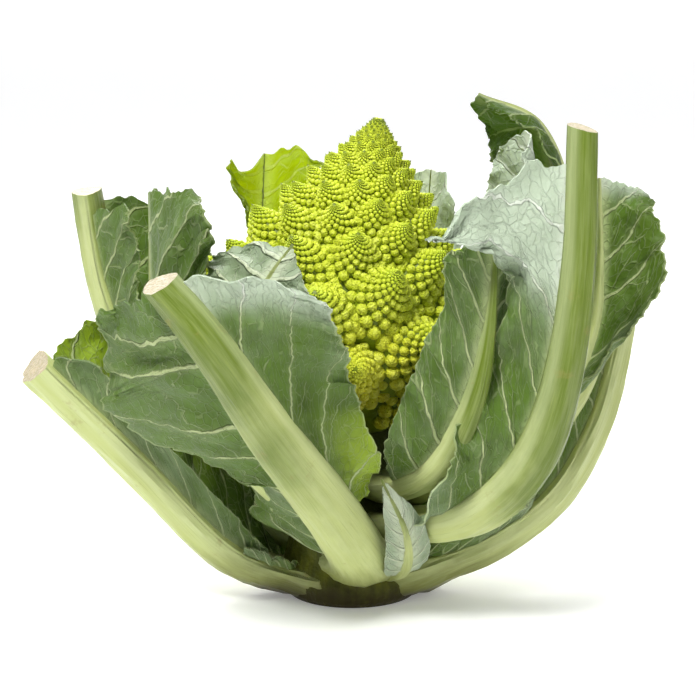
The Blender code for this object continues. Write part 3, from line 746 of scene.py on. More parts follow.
# %% [markdown]
# ## From values to a surface
# The rib's frame at any share of its length gives four things: where it is, which way it runs, its
# right and its outer side. A blade's column starts at the rib's edge and bends in a circle towards
# the head, so its points are the sine and the cosine of the angle it has turned by.

# %% Curves and frames
def smooth(values, share):
    """A smooth curve through evenly spaced values or points, read at shares, and straight beyond its ends."""
    values = np.array(values, float)
    share = np.asarray(share, float)
    if len(values) == 1:
        return np.zeros(share.shape + values.shape[1:]) + values[0]
    held = np.clip(share, 0.0, 1.0)
    padded = np.concatenate([[2 * values[0] - values[1]], values, [2 * values[-1] - values[-2]]])
    place = held * (len(values) - 1)
    index = np.minimum(place.astype(int), len(values) - 2)
    part = (place - index).reshape(place.shape + (1,) * (values.ndim - 1))
    before, first, second, after = (padded[index + k] for k in range(4))
    curve = 0.5 * (
        2 * first
        + (second - before) * part
        + (2 * before - 5 * first + 4 * second - after) * part**2
        + (3 * first - before - 3 * second + after) * part**3
    )
    beyond = (share - held).reshape(part.shape) * (len(values) - 1)
    return curve + beyond * np.where(beyond < 0, values[1] - values[0], values[-1] - values[-2])


def unit(vectors):
    return vectors / np.maximum(np.linalg.norm(vectors, axis=-1, keepdims=True), 1e-12)


def turned(vectors, axes, degrees):
    """Vectors turned about unit axes by Rodrigues' formula."""
    angle = np.radians(degrees)[..., None]
    along = np.sum(vectors * axes, axis=-1, keepdims=True) * axes
    return vectors * np.cos(angle) + np.cross(axes, vectors) * np.sin(angle) + along * (1 - np.cos(angle))


def step(value, low, high):
    """0 below low, 1 above high and a smooth step between."""
    share = np.clip((value - low) / (high - low), 0, 1)
    return share * share * (3 - 2 * share)


def wander(place, seed, octaves=4):
    """A value of about -1 to 1 that wanders along a line, the same each time for one seed."""
    draw = np.random.default_rng(seed)
    total = np.zeros_like(place)
    for octave in range(octaves):
        turns = 2**octave * draw.uniform(0.75, 1.25)
        total = total + np.sin(2 * math.pi * (turns * place + draw.uniform())) / 1.7**octave
    return total / 2


def rib_frame(leaf, share):
    """The rib's centre, its direction, its right and its outer side, at shares of its length."""
    azimuth, radius, height = (np.array(column, float) for column in zip(*leaf.rib))
    azimuth = np.radians(azimuth)
    points = np.stack([radius * np.cos(azimuth), radius * np.sin(azimuth), height], axis=-1)
    share = np.asarray(share, float)
    nearby = 0.01
    centre = smooth(points, share)
    along = unit(smooth(points, share + nearby) - smooth(points, share - nearby))
    around = unit(np.stack([-centre[..., 1], centre[..., 0], np.zeros(share.shape)], axis=-1))
    right = unit(around - np.sum(around * along, axis=-1, keepdims=True) * along)
    right = turned(right, along, smooth(leaf.roll, np.clip(share, 0, 1)))
    return centre, along, right, np.cross(right, along)


def rib_taper(leaf, share):
    """1 on a bare rib. Where the leaf keeps its tip, it falls towards a thin vein at the top."""
    return 1 - (1 - leaf.tip) * step(np.asarray(share, float), leaf.thins_from, 1.0)


# %% Blade columns
BLADE_ROOT_SHARE = 0.55  # how far out in the rib's half width a blade has its root
COLUMN_DROOP = 1.4  # above 1, a column first runs straight out and only then turns up the leaf


def blade_columns(leaf, blade, side, out, up, seed):
    """Points of a blade in millimetres, over grids of shares out to the margin and up its columns."""
    root = blade.root[0] + (blade.root[1] - blade.root[0]) * up
    share = root + (smooth(blade.margin, up) - root) * out**COLUMN_DROOP
    share = share + blade.bow * 4 * out * (1 - out) * up**2
    tears = wander(out * 1.7 * max(blade.width) / 40, seed + 3, 3) * step(out, 0, 0.2)
    share = share + blade.torn * tears * up**4
    share = share - blade.round * out**3 * up**5
    centre, _, right, outward = rib_frame(leaf, share)
    half_rib = 0.5 * smooth(leaf.width, np.clip(share, 0, 1)) * rib_taper(leaf, share)
    width = np.maximum(smooth(blade.width, up), 1.0)
    rough = wander(up * 5, seed) + 0.6 * wander(up * 17, seed + 1, 3)
    width = width * (1 + blade.ragged * rough) + (1 - BLADE_ROOT_SHARE) * half_rib
    lift = np.radians(smooth(blade.lift, up))
    cup = np.radians(smooth(blade.cup, up))
    cup = np.where(np.abs(cup) < 0.02, 0.02, cup)
    heading = lift + cup * out
    bend = width / cup
    across = bend * (np.sin(heading) - np.sin(lift))
    inward = bend * (np.cos(lift) - np.cos(heading))
    height, waves, phase = blade.ruffle
    wave = height * out**1.5 * np.sin(2 * math.pi * waves * up + math.radians(phase))
    wave = wave + blade.frill * out**3 * wander(up * 6 + 0.3 * out, seed + 2, 3)
    across = side * (BLADE_ROOT_SHARE * half_rib + across + wave * np.sin(heading))
    outwards = wave * np.cos(heading) - inward
    points = centre + right * across[..., None] + outward * outwards[..., None]
    return folded(points, out, up, blade.fold, side), out * width


# %% Folds and veins
FOLD_ROOM = 0.2  # share of the columns over which a fold bends
FULL_FOLD_AT = 0.35  # share of the way to the margin from which it bends fully


def folded(points, out, up, fold, side):
    """Bends the blade's top over a line across it, more so with the distance from the rib."""
    at_rib, at_margin, degrees = fold
    if degrees == 0:
        return points
    line = at_rib + (at_margin - at_rib) * out
    begun = np.clip((up - line) / FOLD_ROOM, 0, 1)
    angle = degrees * begun * np.clip(out / FULL_FOLD_AT, 0, 1)
    steps = np.diff(points, axis=1)
    axes = unit(np.gradient(points, axis=0)[:, :-1]) * side
    bent = turned(steps, axes, angle[:, 1:])
    return np.concatenate([points[:, :1], points[:, :1] + np.cumsum(bent, axis=1)], axis=1)


def vein_count(blade, out, up):
    """A count over the blade that is a whole number on each side vein."""
    starts = np.array((-0.14,) + tuple(blade.veins) + (1.2,))
    ends = np.array((-0.14,) + tuple(blade.ends) + (max(1.2, blade.ends[-1] + 0.2),))
    count = np.zeros_like(out)
    for row in range(out.shape[0]):
        places = starts + (ends - starts) * out[row, 0] ** 1.3
        count[row] = np.interp(up[row], places, np.arange(len(places)))
    return count


# %% Relief of a blade
CRUMPLE = 2.1  # millimetres
CRUMPLE_LENGTHS = (70, 46, 32, 23, 17)  # millimetres from wave to wave
RIDGE_HEIGHT = 0.5
RIDGE_WIDTH = 1.1


def crumple(across, upwards, seed):
    """Slow waves of about -1 to 1 over a sheet, from its two distances in millimetres."""
    draw = np.random.default_rng(seed)
    total = np.zeros_like(across)
    for length in CRUMPLE_LENGTHS:
        turn = draw.uniform(0, math.pi)
        place = (across * math.cos(turn) + upwards * math.sin(turn)) / length
        total = total + np.sin(2 * math.pi * (place + draw.uniform())) * (length / 46) ** 0.8
    return total / 2.4


def blade_relief(points, count, spacing, out, across, swell, side, seed):
    """Moves the blade's points: it swells inwards between its veins, which stand out on its outer face."""
    outward = side * unit(np.cross(np.gradient(points, axis=0), np.gradient(points, axis=1)))
    upwards = np.cumsum(np.linalg.norm(np.gradient(points, axis=1), axis=-1), axis=1)
    between = 0.5 - 0.5 * np.cos(2 * math.pi * count)
    apart = np.abs(count - np.round(count)) * spacing
    ridge = np.exp(-((apart / RIDGE_WIDTH) ** 2)) * (1 - 0.6 * out)
    rise = RIDGE_HEIGHT * ridge - swell * between**0.7 * step(across, 2, 12) * (1 - 0.7 * out**4)
    rise = rise + CRUMPLE * crumple(across, upwards, seed + 30) * step(across, 3, 18)
    return points + outward * rise[..., None]


# %% [markdown]
# ## Making the meshes
# A blade starts as a grid, whose points are moved to the surface worked out above, and Solidify
# gives it its thickness. A rib starts as a cylinder cut into rings. Both carry what the finishes
# read at each point. Each is closed, and the blades' roots lie inside the rib, so they are simply
# joined. A Boolean union would cut away the hidden parts, but it is slow on blades that are folded
# over and touch themselves.

# %% Mesh helpers
def only(obj):
    """Makes the object the one that operators act on."""
    bpy.ops.object.select_all(action="DESELECT")
    obj.select_set(True)
    bpy.context.view_layer.objects.active = obj


def points_of(obj):
    flat = np.zeros(len(obj.data.vertices) * 3, np.float32)
    obj.data.vertices.foreach_get("co", flat)
    return flat.reshape(-1, 3).astype(float)


def move_points(obj, points):
    obj.data.vertices.foreach_set("co", np.asarray(points, np.float32).ravel())
    obj.data.update()


def carry(obj, name, *columns):
    """Gives the mesh a vector at each point, for the finishes to read."""
    values = np.stack([np.broadcast_to(column, len(obj.data.vertices)) for column in columns], axis=-1)
    attribute = obj.data.attributes.new(name, "FLOAT_VECTOR", "POINT")
    attribute.data.foreach_set("vector", values.astype(np.float32).ravel())


def finish_with(obj, *materials):
    obj.data.materials.clear()
    for material in materials:
        obj.data.materials.append(material)


def ringed_cylinder(name, sides, rings, ends):
    """A cylinder of radius and height 1, cut into rings, with nothing selected."""
    bpy.ops.mesh.primitive_cylinder_add(vertices=sides, radius=1, depth=1, end_fill_type=ends)
    obj = bpy.context.object
    obj.name = name
    bpy.ops.object.mode_set(mode="EDIT")
    bpy.ops.mesh.select_mode(type="EDGE")
    bpy.ops.mesh.select_all(action="DESELECT")
    bpy.ops.object.mode_set(mode="OBJECT")
    for edge in obj.data.edges:
        low, high = (obj.data.vertices[index].co.z for index in edge.vertices)
        edge.select = abs(low - high) > 0.5
    bpy.ops.object.mode_set(mode="EDIT")
    bpy.ops.mesh.subdivide(number_cuts=rings - 1)
    bpy.ops.mesh.select_mode(type="FACE")
    bpy.ops.mesh.select_all(action="DESELECT")
    bpy.ops.object.mode_set(mode="OBJECT")
    return obj


# %% Blades
BLADE_THICKNESS = 0.8
LEAF_MATERIALS = {
    "leaf_blade_waxy": blade_waxy, "leaf_blade_fresh": blade_fresh, "leaf_blade_dark": blade_dark,
}


def rib_length(leaf, low, high, points):
    """Millimetres along the rib between two shares of it."""
    centre = rib_frame(leaf, np.linspace(low, high, points))[0]
    return np.linalg.norm(np.diff(centre, axis=0), axis=1).sum()


def make_blade(name, leaf, blade, side, seed):
    length = rib_length(leaf, *blade.root, 40)
    cells_out = max(6, round(max(blade.width) * 1.1 / leaf.cell))
    cells_up = max(12, round(length * 1.1 / leaf.cell))
    bpy.ops.mesh.primitive_grid_add(x_subdivisions=cells_out, y_subdivisions=cells_up, size=1)
    obj = bpy.context.object
    obj.name = name
    flat = points_of(obj)
    row = np.round((flat[:, 0] + 0.5) * cells_out).astype(int)
    column = np.round((flat[:, 1] + 0.5) * cells_up).astype(int)
    shares = np.linspace(0, 1, cells_out + 1), np.linspace(0, 1, cells_up + 1)
    out, up = np.meshgrid(*shares, indexing="ij")
    points, across = blade_columns(leaf, blade, side, out, up, seed)
    count = vein_count(blade, out, up)
    stride = np.linalg.norm(np.gradient(points, axis=1), axis=-1)
    spacing = stride / np.maximum(np.abs(np.gradient(count, axis=1)), 1e-4)
    spacing = np.clip(spacing, 2.0, 60.0)
    points = blade_relief(points, count, spacing, out, across, blade.swell, side, seed)
    move_points(obj, points[row, column] * MM)
    carry(obj, "vein_place", count[row, column], across[row, column], spacing[row, column])
    carry(obj, "leaf_place", out[row, column], up[row, column], smooth(blade.wax_and_painted_light, up)[row, column])
    if side < 0:
        obj.data.flip_normals()
    finish_with(obj, LEAF_MATERIALS[leaf.finish], leaf_rib, leaf_cut)
    only(obj)
    thick = obj.modifiers.new("thickness", "SOLIDIFY")
    thick.thickness = BLADE_THICKNESS * MM
    thick.offset = 0.0
    bpy.ops.object.modifier_apply(modifier=thick.name)
    return obj


# %% Ribs
RIB_SIDES = 32
RIB_RING = 3.0  # millimetres from ring to ring
RIB_INNER_SHARE = 0.3  # how round the side towards the head is, as a share of the outer side
LOWEST = 0.4  # millimetres above the ground


def make_rib(name, leaf, seed):
    length = rib_length(leaf, 0, 1, 60)
    obj = ringed_cylinder(name, RIB_SIDES, max(8, round(length / RIB_RING)), "NGON")
    for face in obj.data.polygons:
        face.select = abs(face.normal.z) > 0.9 and face.center.z > 0.4
    bpy.ops.object.mode_set(mode="EDIT")
    for inset in (0.12, 0.3, 0.3):
        bpy.ops.mesh.inset(thickness=inset, depth=0.0)
    bpy.ops.object.mode_set(mode="OBJECT")
    flat = points_of(obj)
    share = flat[:, 2] + 0.5
    reach = np.hypot(flat[:, 0], flat[:, 1])
    angle = np.arctan2(flat[:, 1], flat[:, 0])
    centre, along, right, outward = rib_frame(leaf, share)
    thin = rib_taper(leaf, share)
    flare = 1 + leaf.sheath * (1 - step(share, 0.02, 0.24))
    half_width = 0.5 * smooth(leaf.width, share) * thin * flare
    depth = smooth(leaf.depth, share) * thin * np.where(flat[:, 1] < 0, RIB_INNER_SHARE, 1.0)
    depth = depth * (1 + 0.5 * (flare - 1))
    flute = 1 + leaf.ridges * np.sin(9 * angle + 2 * wander(share, seed))
    flute = flute + 0.03 * wander(share * 3 + angle, seed + 5)
    points = centre - right * (half_width * flat[:, 0] * flute)[:, None]
    points = points + outward * (depth * flat[:, 1] * flute)[:, None]
    end = (share > 0.999) * (1 - reach) * (1.2 + wander(reach + flat[:, 0], seed + 7))
    points = points - along * end[:, None]
    if any(leaf.cut):
        looks = unit(np.array(leaf.cut, float))
        tilted = ((points - centre) @ looks) / (along @ looks)
        points = points - along * (tilted * step(share, 0.84, 1.0))[:, None]
    points[:, 2] = np.maximum(points[:, 2], LOWEST)
    move_points(obj, points * MM)
    carry(obj, "vein_place", angle / (2 * math.pi), share * length, 0.0)
    carry(obj, "leaf_place", np.abs(flat[:, 0]) ** 3, share, leaf.green)
    finish_with(obj, LEAF_MATERIALS[leaf.finish], leaf_rib, leaf_cut)
    cut = [CUT if share[list(face.vertices)].min() > 0.999 else RIB for face in obj.data.polygons]
    obj.data.polygons.foreach_set("material_index", cut)
    return obj


# %% Whole leaves
def join(obj, *others):
    """Joins closed bodies that reach into each other into one piece."""
    only(obj)
    for other in others:
        other.select_set(True)
    bpy.ops.object.join()


def wing_of(blade, wide):
    """The ruffled strip that runs down the stalk from a blade's foot."""
    low, high = 0.06, blade.root[0] + 0.12
    return Blade(
        root=(low, high), margin=(low + 0.04, high + 0.03),
        width=(0.5 * wide, wide, 0.9 * wide, 0.8 * wide), lift=(18,), cup=(45,), ruffle=(1.5, 3.3, 40),
        frill=1.5, ragged=0.12, swell=0.8, torn=0.0, round=0.0, wax_and_painted_light=(-0.3, 0.2, 0.4),
    )


def make_leaf(name, leaf, seed):
    rib = make_rib(name, leaf, seed)
    blades = []
    for title, blade, side, wide, seed_step in (
        ("left", leaf.left, -1, leaf.wings[0], 10), ("right", leaf.right, 1, leaf.wings[1], 20),
    ):
        full_name = name + "_" + title
        blades.append(make_blade(full_name, leaf, blade, side, seed + seed_step))
        if wide:
            wing = wing_of(blade, wide)
            blades.append(make_blade(full_name + "_wing", leaf, wing, side, seed + 3 * seed_step))
    join(rib, *blades)
    only(rib)
    bpy.ops.object.shade_smooth_by_angle(angle=math.radians(40))
    rib.name = name + "_grown"
    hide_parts(name)
    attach(rib, "root")
    return rib


# %% Leaves
FIRST_SEED = 40
SEEDS_A_LEAF = 100
for number, (name, leaf) in enumerate(LEAVES.items()):
    made = make_leaf(name, leaf, FIRST_SEED + SEEDS_A_LEAF * number)
    print("%-24s %6d faces" % (made.name, len(made.data.polygons)))


# %% [markdown]
# ## The finish of the head
# Each bud of the head is bright yellow-green on top, with a painted highlight at its very top, and falls
# to a deep olive where it meets its neighbours, which is partly its own colour and partly painted shade.
# The buds at a cone's tip are small and stay greener. The lowest cones, which the leaves kept in the
# dark, are more ochre. The mesh carries how high each point is on its bud, how near that bud is to its
# cone's tip, and how large its kind is, and the place in the object gives the height. The largest buds
# are beaded, which a Voronoi pattern gives as relief.

# %% Head finish
BUD_TOP = (0.67, 0.75, 0.045)
TIP_BUD_TOP = (0.52, 0.66, 0.03)
RIPE_BUD_TOP = (0.74, 0.62, 0.03)
PAINTED_HIGHLIGHT_BUD_TOP = (0.78, 0.82, 0.22)
BUD_FOOT_AND_PAINTED_SHADE = (0.17, 0.23, 0.002)
BEADS_A_METRE = 1100.0
BUD_RELIEF = 0.0005


def curd_finish():
    paint = Finish("curd", Roughness=0.4, Specular_IOR_Level=0.4)
    height, tip, kind = paint.attribute("bud_place").parts()
    _, _, z = paint.place().parts()
    cloud = paint.place().noise(60.0, 2.0)
    grain = paint.place().noise(700.0, 2.0)
    # how high a point is on its bud: the foot is deep olive, partly the bud's own colour and partly painted
    # shade between the buds
    level = (height + (grain - 0.5) * 0.12).rise(0.1, 0.75)
    bright = mixed(tip * 0.6, BUD_TOP, TIP_BUD_TOP)
    low = 1.0 - (z + (cloud - 0.5) * 0.03).rise(0.085, 0.15)
    flesh = mixed(level, BUD_FOOT_AND_PAINTED_SHADE, mixed(low * 0.6, bright, RIPE_BUD_TOP))
    # painted highlight: the very tops of the buds are painted pale
    pale = (height + (cloud - 0.5) * 0.5 - tip * 0.4).rise(0.9, 1.2) * 0.4
    paint.wire("Base Color", mixed(pale, flesh, PAINTED_HIGHLIGHT_BUD_TOP))
    paint.wire("Roughness", 0.36 + grain * 0.2)
    inputs = {"Vector": paint.place(), "Scale": BEADS_A_METRE, "Smoothness": 0.4}
    beads = paint.start.node("TexVoronoi", {"feature": "SMOOTH_F1"}, inputs, "Distance")
    paint.relief((1.0 - beads * 1.6) * kind, BUD_RELIEF)
    return paint.material


curd = curd_finish()

# %% [markdown]
# ## The head
# The head grows by one rule, used three times. Buds appear one after another at the tip, each turned
# from the last by the golden angle, and each moves down the cone as it grows, so a bud's size is a
# fixed share of its distance from the tip. Buds of the head are cones with buds of their own, and
# the largest of those are studded once more. The first two times, the rule places real shapes. The
# third is the shape of the largest bud itself: a dome whose points stand out in turn.

# %% Head values, nearly all as in the model
HEAD_FOOT = (-12.0, 0.0, 82.0)
HEAD_LEAN_DEG = 10.0
HEAD_HEIGHT = 137.5
CORE_HALF_ANGLE_DEG = 30.0
CORE_STRAIGHT = 80.0
CORE_LENGTH = 150.0
CORE_UNDERCUT_DEG = 62.0
NECK_RADIUS = 17.0
GOLDEN_ANGLE_DEG = 137.508
FLORET_RISE_DEG = 27.0
FLORET_RISE_WITH_SLOPE = 0.6
MOST_FLORET_AT = 92.0
FLORET_HEIGHT_SHARE = 0.28
FLORET_SINK_SHARE = 0.17
FLORET_RADIUS_SHARE = 0.265
SPIRAL_GROWTH = 0.0277
MOST_FLORET_STEP = 2.9
FIRST_FLORET = 2.2
LAST_FLORET_SHARE = 0.88
APEX_BULGE = 7.0
CORE_SAMPLES = 200


def core_place(distance):
    """Radius, height below the tip and slope of the core's side, at a distance along it from the tip."""
    along = np.linspace(0, distance, CORE_SAMPLES + 1)
    bending = np.clip((along - CORE_STRAIGHT) / (CORE_LENGTH - CORE_STRAIGHT), 0, 1)
    slope = np.radians(CORE_HALF_ANGLE_DEG - (CORE_HALF_ANGLE_DEG + CORE_UNDERCUT_DEG) * bending)
    middle = 0.5 * (slope[1:] + slope[:-1])
    width = distance / CORE_SAMPLES
    return float(np.sum(np.sin(middle)) * width), float(np.sum(np.cos(middle)) * width), float(slope[-1])


def spiral_distances(first, last, growth, most):
    """Distances from a tip, each further than the one before by a share of itself, up to a most."""
    distances = [first]
    while distances[-1] < last:
        distances.append(distances[-1] + min(distances[-1] * growth, most))
    return np.array(distances)


HEAD_MATRIX = np.array(
    Matrix.Translation(Vector(HEAD_FOOT)) @ Matrix.Rotation(math.radians(HEAD_LEAN_DEG), 4, "Y")
)


def placed(turn, out, up, rise, radius, height):
    """Matrices that set a unit bud on a cone: turned round its axis, out from it, and leaning up by rise."""
    turn, out, up, rise, radius, height = np.broadcast_arrays(turn, out, up, rise, radius, height)
    lean = math.pi / 2 - rise
    zero = np.zeros_like(out, dtype=float)
    one = zero + 1
    across = np.stack([np.cos(lean), zero, -np.sin(lean)], -1) * radius[..., None]
    side = np.stack([zero, one, zero], -1) * radius[..., None]
    axis = np.stack([np.sin(lean), zero, np.cos(lean)], -1) * height[..., None]
    foot = np.stack([out, zero, up], -1)
    local = np.zeros(out.shape + (4, 4))
    for column, vector in enumerate((across, side, axis, foot)):
        local[..., :3, column] = vector
    local[..., 3, 3] = 1
    spin = np.zeros_like(local)
    spin[..., 0, 0] = spin[..., 1, 1] = np.cos(turn)
    spin[..., 0, 1] = -np.sin(turn)
    spin[..., 1, 0] = np.sin(turn)
    spin[..., 2, 2] = spin[..., 3, 3] = 1
    return spin @ local


# %% Florets
BULGE_FADES_OVER = 20.0  # millimetres from the head's tip over which the florets' extra size fades
distances = spiral_distances(FIRST_FLORET, CORE_LENGTH * LAST_FLORET_SHARE, SPIRAL_GROWTH, MOST_FLORET_STEP)
reaches = np.minimum(distances + APEX_BULGE * np.exp(-distances / BULGE_FADES_OVER), MOST_FLORET_AT)
places = np.array([core_place(distance) for distance in distances])
rises = math.radians(FLORET_RISE_DEG) + FLORET_RISE_WITH_SLOPE * places[:, 2]
sinks = FLORET_SINK_SHARE * reaches
floret_heights = (FLORET_HEIGHT_SHARE + FLORET_SINK_SHARE) * reaches
floret_radii = FLORET_RADIUS_SHARE * reaches
florets = HEAD_MATRIX @ placed(
    np.radians(np.arange(len(distances)) * GOLDEN_ANGLE_DEG),
    places[:, 0] - sinks * np.cos(rises),
    HEAD_HEIGHT - places[:, 1] - sinks * np.sin(rises),
    rises, 1.0, 1.0,
)
print(len(florets), "florets")

# %% [markdown]
# A floret's buds follow the same rule on its own cone. Large florets have finer buds for their size,
# and the lowest ones, which are old, have buds that differ less from tip to foot. Buds that would be
# buried in the core or in a neighbouring floret are left out.

# %% How far a bud is buried
BUD_SHARE = 0.142  # a bud's radius, as a share of its distance from its floret's tip
BUD_GROWTH = 0.0215
SMALLEST_BUD = 0.22  # millimetres
FINEST_BUDS = 0.24  # how much finer the buds of the largest florets are
MOST_EVEN = 3.5  # millimetres added to those distances on the lowest florets
EVEN_FROM = 124  # number of the first floret that has some of it
ALL_EVEN_AFTER = 14


def bud_distances(share, even, last):
    """Distances from a floret's tip to its buds, spaced so that buds of these sizes just touch."""
    distances = [max(SMALLEST_BUD / share, 0.4 * even)]
    while distances[-1] < last:
        radius = share * (distances[-1] + even)
        distances.append(distances[-1] + BUD_GROWTH / BUD_SHARE**2 * radius**2 / distances[-1])
    return np.array(distances)


def core_depth(points):
    """How deep points are below the core's surface, in millimetres, from its nearest outline point."""
    local = (np.linalg.inv(HEAD_MATRIX) @ np.concatenate([points, np.ones((len(points), 1))], 1).T).T[:, :3]
    radius = np.hypot(local[:, 0], local[:, 1])
    drop = HEAD_HEIGHT - local[:, 2]
    outline = np.array([core_place(distance) for distance in np.linspace(0.5, CORE_LENGTH, 90)])
    apart = np.hypot(radius[:, None] - outline[:, 0], drop[:, None] - outline[:, 1])
    nearest = apart.argmin(1)
    slope = outline[nearest, 2]
    return (outline[nearest, 0] - radius) * np.cos(slope) + (drop - outline[nearest, 1]) * np.sin(slope)


def floret_depth(points, matrices, radii, heights):
    """How deep each point is inside the nearest-fitting floret cone, in millimetres: the most of them all."""
    deepest = np.full(len(points), -1e9)
    half_angle = np.arctan2(radii, heights)
    for matrix, height, angle in zip(matrices, heights, half_angle):
        offset = points - matrix[:3, 3]
        up = offset @ matrix[:3, 2]
        off_axis = np.linalg.norm(offset - up[:, None] * matrix[:3, 2], axis=1)
        depth = ((height - up) * math.tan(angle) - off_axis) * math.cos(angle)
        deepest = np.maximum(deepest, np.minimum(depth, up))
    return deepest


# %% Buds on the florets
BUD_SINK = 0.35
BUD_STRETCH = 1.15
BUDS_DOWN_TO = 0.8  # share of a floret's side that has buds, from its tip
HIDDEN_IN_CORE = 0.6  # how deep a bud is left out, in its own radii
HIDDEN_IN_FLORET = 1.2
NEIGHBOURS_WITHIN = 2.2  # times the heights of two florets together

bud_matrices = []
bud_radii = []
bud_tips = []
bud_owner = []
for index, (matrix, radius, height, reach) in enumerate(zip(florets, floret_radii, floret_heights, reaches)):
    slant = math.hypot(radius, height)
    angle = math.atan2(radius, height)
    finer = 1 - FINEST_BUDS * step(reach, 40, MOST_FLORET_AT)
    even = MOST_EVEN * step(index, EVEN_FROM, EVEN_FROM + ALL_EVEN_AFTER)
    share = BUD_SHARE * finer * slant / (slant + even)
    along = bud_distances(share, even, slant * BUDS_DOWN_TO)
    radii = share * (along + even)
    turn = np.radians(GOLDEN_ANGLE_DEG) * np.arange(len(along)) + index
    rise = math.radians(FLORET_RISE_DEG) + FLORET_RISE_WITH_SLOPE * angle
    local = placed(
        turn,
        along * math.sin(angle) - BUD_SINK * radii * math.cos(rise),
        height - along * math.cos(angle) - BUD_SINK * radii * math.sin(rise),
        rise, radii, radii * BUD_STRETCH,
    )
    matrices = matrix @ local
    keep = core_depth(matrices[:, :3, 3]) < HIDDEN_IN_CORE * radii
    apart = np.linalg.norm(florets[:, :3, 3] - matrix[:3, 3], axis=1)
    near = apart < NEIGHBOURS_WITHIN * (height + floret_heights)
    near[index] = False
    inside = floret_depth(matrices[:, :3, 3], florets[near], floret_radii[near], floret_heights[near])
    keep &= inside < HIDDEN_IN_FLORET * radii
    bud_matrices.append(matrices[keep])
    bud_radii.append(radii[keep])
    bud_tips.append((1 - step(along / slant, 0.05, 0.4))[keep])
    bud_owner.append(np.full(keep.sum(), index))
bud_matrices, bud_radii, bud_tips, bud_owner = map(
    np.concatenate, (bud_matrices, bud_radii, bud_tips, bud_owner)
)
print(len(bud_radii), "buds, the largest", round(float(bud_radii.max()), 1), "mm in radius")

# %% [markdown]
# One bud is modelled for each range of sizes: a sphere from the Add menu, whose lower half is drawn in
# to a root. A large one is studded in rings that shrink towards its tip. Thousands of copies would be
# slow as objects, so their points are worked out together and written into a few meshes.

# %% Bud shapes
BUD_ROOT = -0.55
BUD_POINT = 1.06
BUD_WRAP = 0.62  # how far round, in half turns, a bud's side goes from its point to its root


def sorted_triangles(mesh):
    """The mesh's faces as triangles, in an order that doesn't change from run to run."""
    triangles = []
    for face in mesh.polygons:
        corners = list(face.vertices)
        least = corners.index(min(corners))
        first, *others = corners[least:] + corners[:least]
        triangles += [(first, *pair) for pair in zip(others, others[1:])]
    return np.array(sorted(triangles))


def bud_shape(name, around, rings, stud, ring_power):
    """A bud of radius 1: its points, its triangles, and how high on it each point is, for the finish."""
    bpy.ops.mesh.primitive_uv_sphere_add(segments=around, ring_count=rings, radius=1)
    obj = bpy.context.object
    obj.name = name
    flat = points_of(obj)
    faces = sorted_triangles(obj.data)
    ring = np.round(np.arccos(np.clip(flat[:, 2], -1, 1)) / math.pi * rings)
    turn = np.arctan2(flat[:, 1], flat[:, 0])
    segment = np.round(turn / (2 * math.pi) * around)
    share = ring / (rings - 1)
    polar = share**ring_power * BUD_WRAP * math.pi
    studs = stud * np.where((segment + ring) % 2 == 0, 1, -1) * step(share, 0, 0.4)
    length = 1 + studs
    around_axis = np.sin(polar) * length
    points = np.stack([around_axis * np.cos(turn), around_axis * np.sin(turn), np.cos(polar) * length], -1)
    points[ring == 0] = (0, 0, BUD_POINT)
    points[ring == rings] = (0, 0, BUD_ROOT)
    # how high a point is on the bud, which the finish paints from the foot's painted shade to the top's
    # painted highlight; raised studs count as higher
    level = np.clip((points[:, 2] + 0.35) / 1.2, 0, 1) + studs * 1.2
    bpy.data.objects.remove(obj)
    return points, faces, level


# from this radius up: the shape, and how strongly it is beaded
BUD_SHAPES = [
    (1.6, bud_shape("large_bud", 10, 6, 0.03, 1.1), 1.0),
    (0.75, bud_shape("middle_bud", 8, 5, 0.0, 1.0), 0.4),
    (0.0, bud_shape("small_bud", 5, 3, 0.0, 1.0), 0.0),
]
print("triangles in a bud:", [len(triangles) for _, (_, triangles, _), _ in BUD_SHAPES])


# %% Many buds as one piece
def copies_mesh(name, points, faces, columns):
    """One object from stacked points and triangles, with the vector that the finish reads."""
    mesh = bpy.data.meshes.new(name)
    mesh.vertices.add(len(points))
    mesh.vertices.foreach_set("co", points.astype(np.float32).ravel())
    mesh.loops.add(faces.size)
    mesh.loops.foreach_set("vertex_index", faces.astype(np.int32).ravel())
    mesh.polygons.add(len(faces))
    mesh.polygons.foreach_set("loop_start", np.arange(0, faces.size, 3, dtype=np.int32))
    mesh.update(calc_edges=True)
    mesh.validate()
    obj = bpy.data.objects.new(name, mesh)
    bpy.context.scene.collection.objects.link(obj)
    carry(obj, "bud_place", *columns)
    return obj


def gather_buds(name, chosen):
    """All the chosen buds as one piece."""
    points, faces, level, tips, kinds = [], [], [], [], []
    total = 0
    most = 1e9
    for least, (shape_points, shape_faces, shape_level), kind in BUD_SHAPES:
        these = np.flatnonzero(chosen & (bud_radii >= least) & (bud_radii < most))
        most = least
        stretched = np.concatenate([shape_points, np.ones((len(shape_points), 1))], axis=1)
        moved = np.einsum("nij,vj->nvi", bud_matrices[these], stretched)[..., :3]
        points.append(moved.reshape(-1, 3))
        starts = total + len(shape_points) * np.arange(len(these))
        faces.append((shape_faces[None] + starts[:, None, None]).reshape(-1, 3))
        total += len(shape_points) * len(these)
        level.append(np.tile(shape_level, len(these)))
        tips.append(np.repeat(bud_tips[these], len(shape_points)))
        kinds.append(np.full(len(these) * len(shape_points), kind))
    columns = [np.concatenate(column) for column in (level, tips, kinds)]
    return copies_mesh(name, np.concatenate(points) * MM, np.concatenate(faces), columns)


# %% [markdown]
# Below the buds lie bare cones: the core of the head, and one in each floret. They take the colour of
# a bud's foot, so they show only as deep olive between the buds, partly painted shade. Each is an
# outline turned about its own axis, from its tip to its foot.

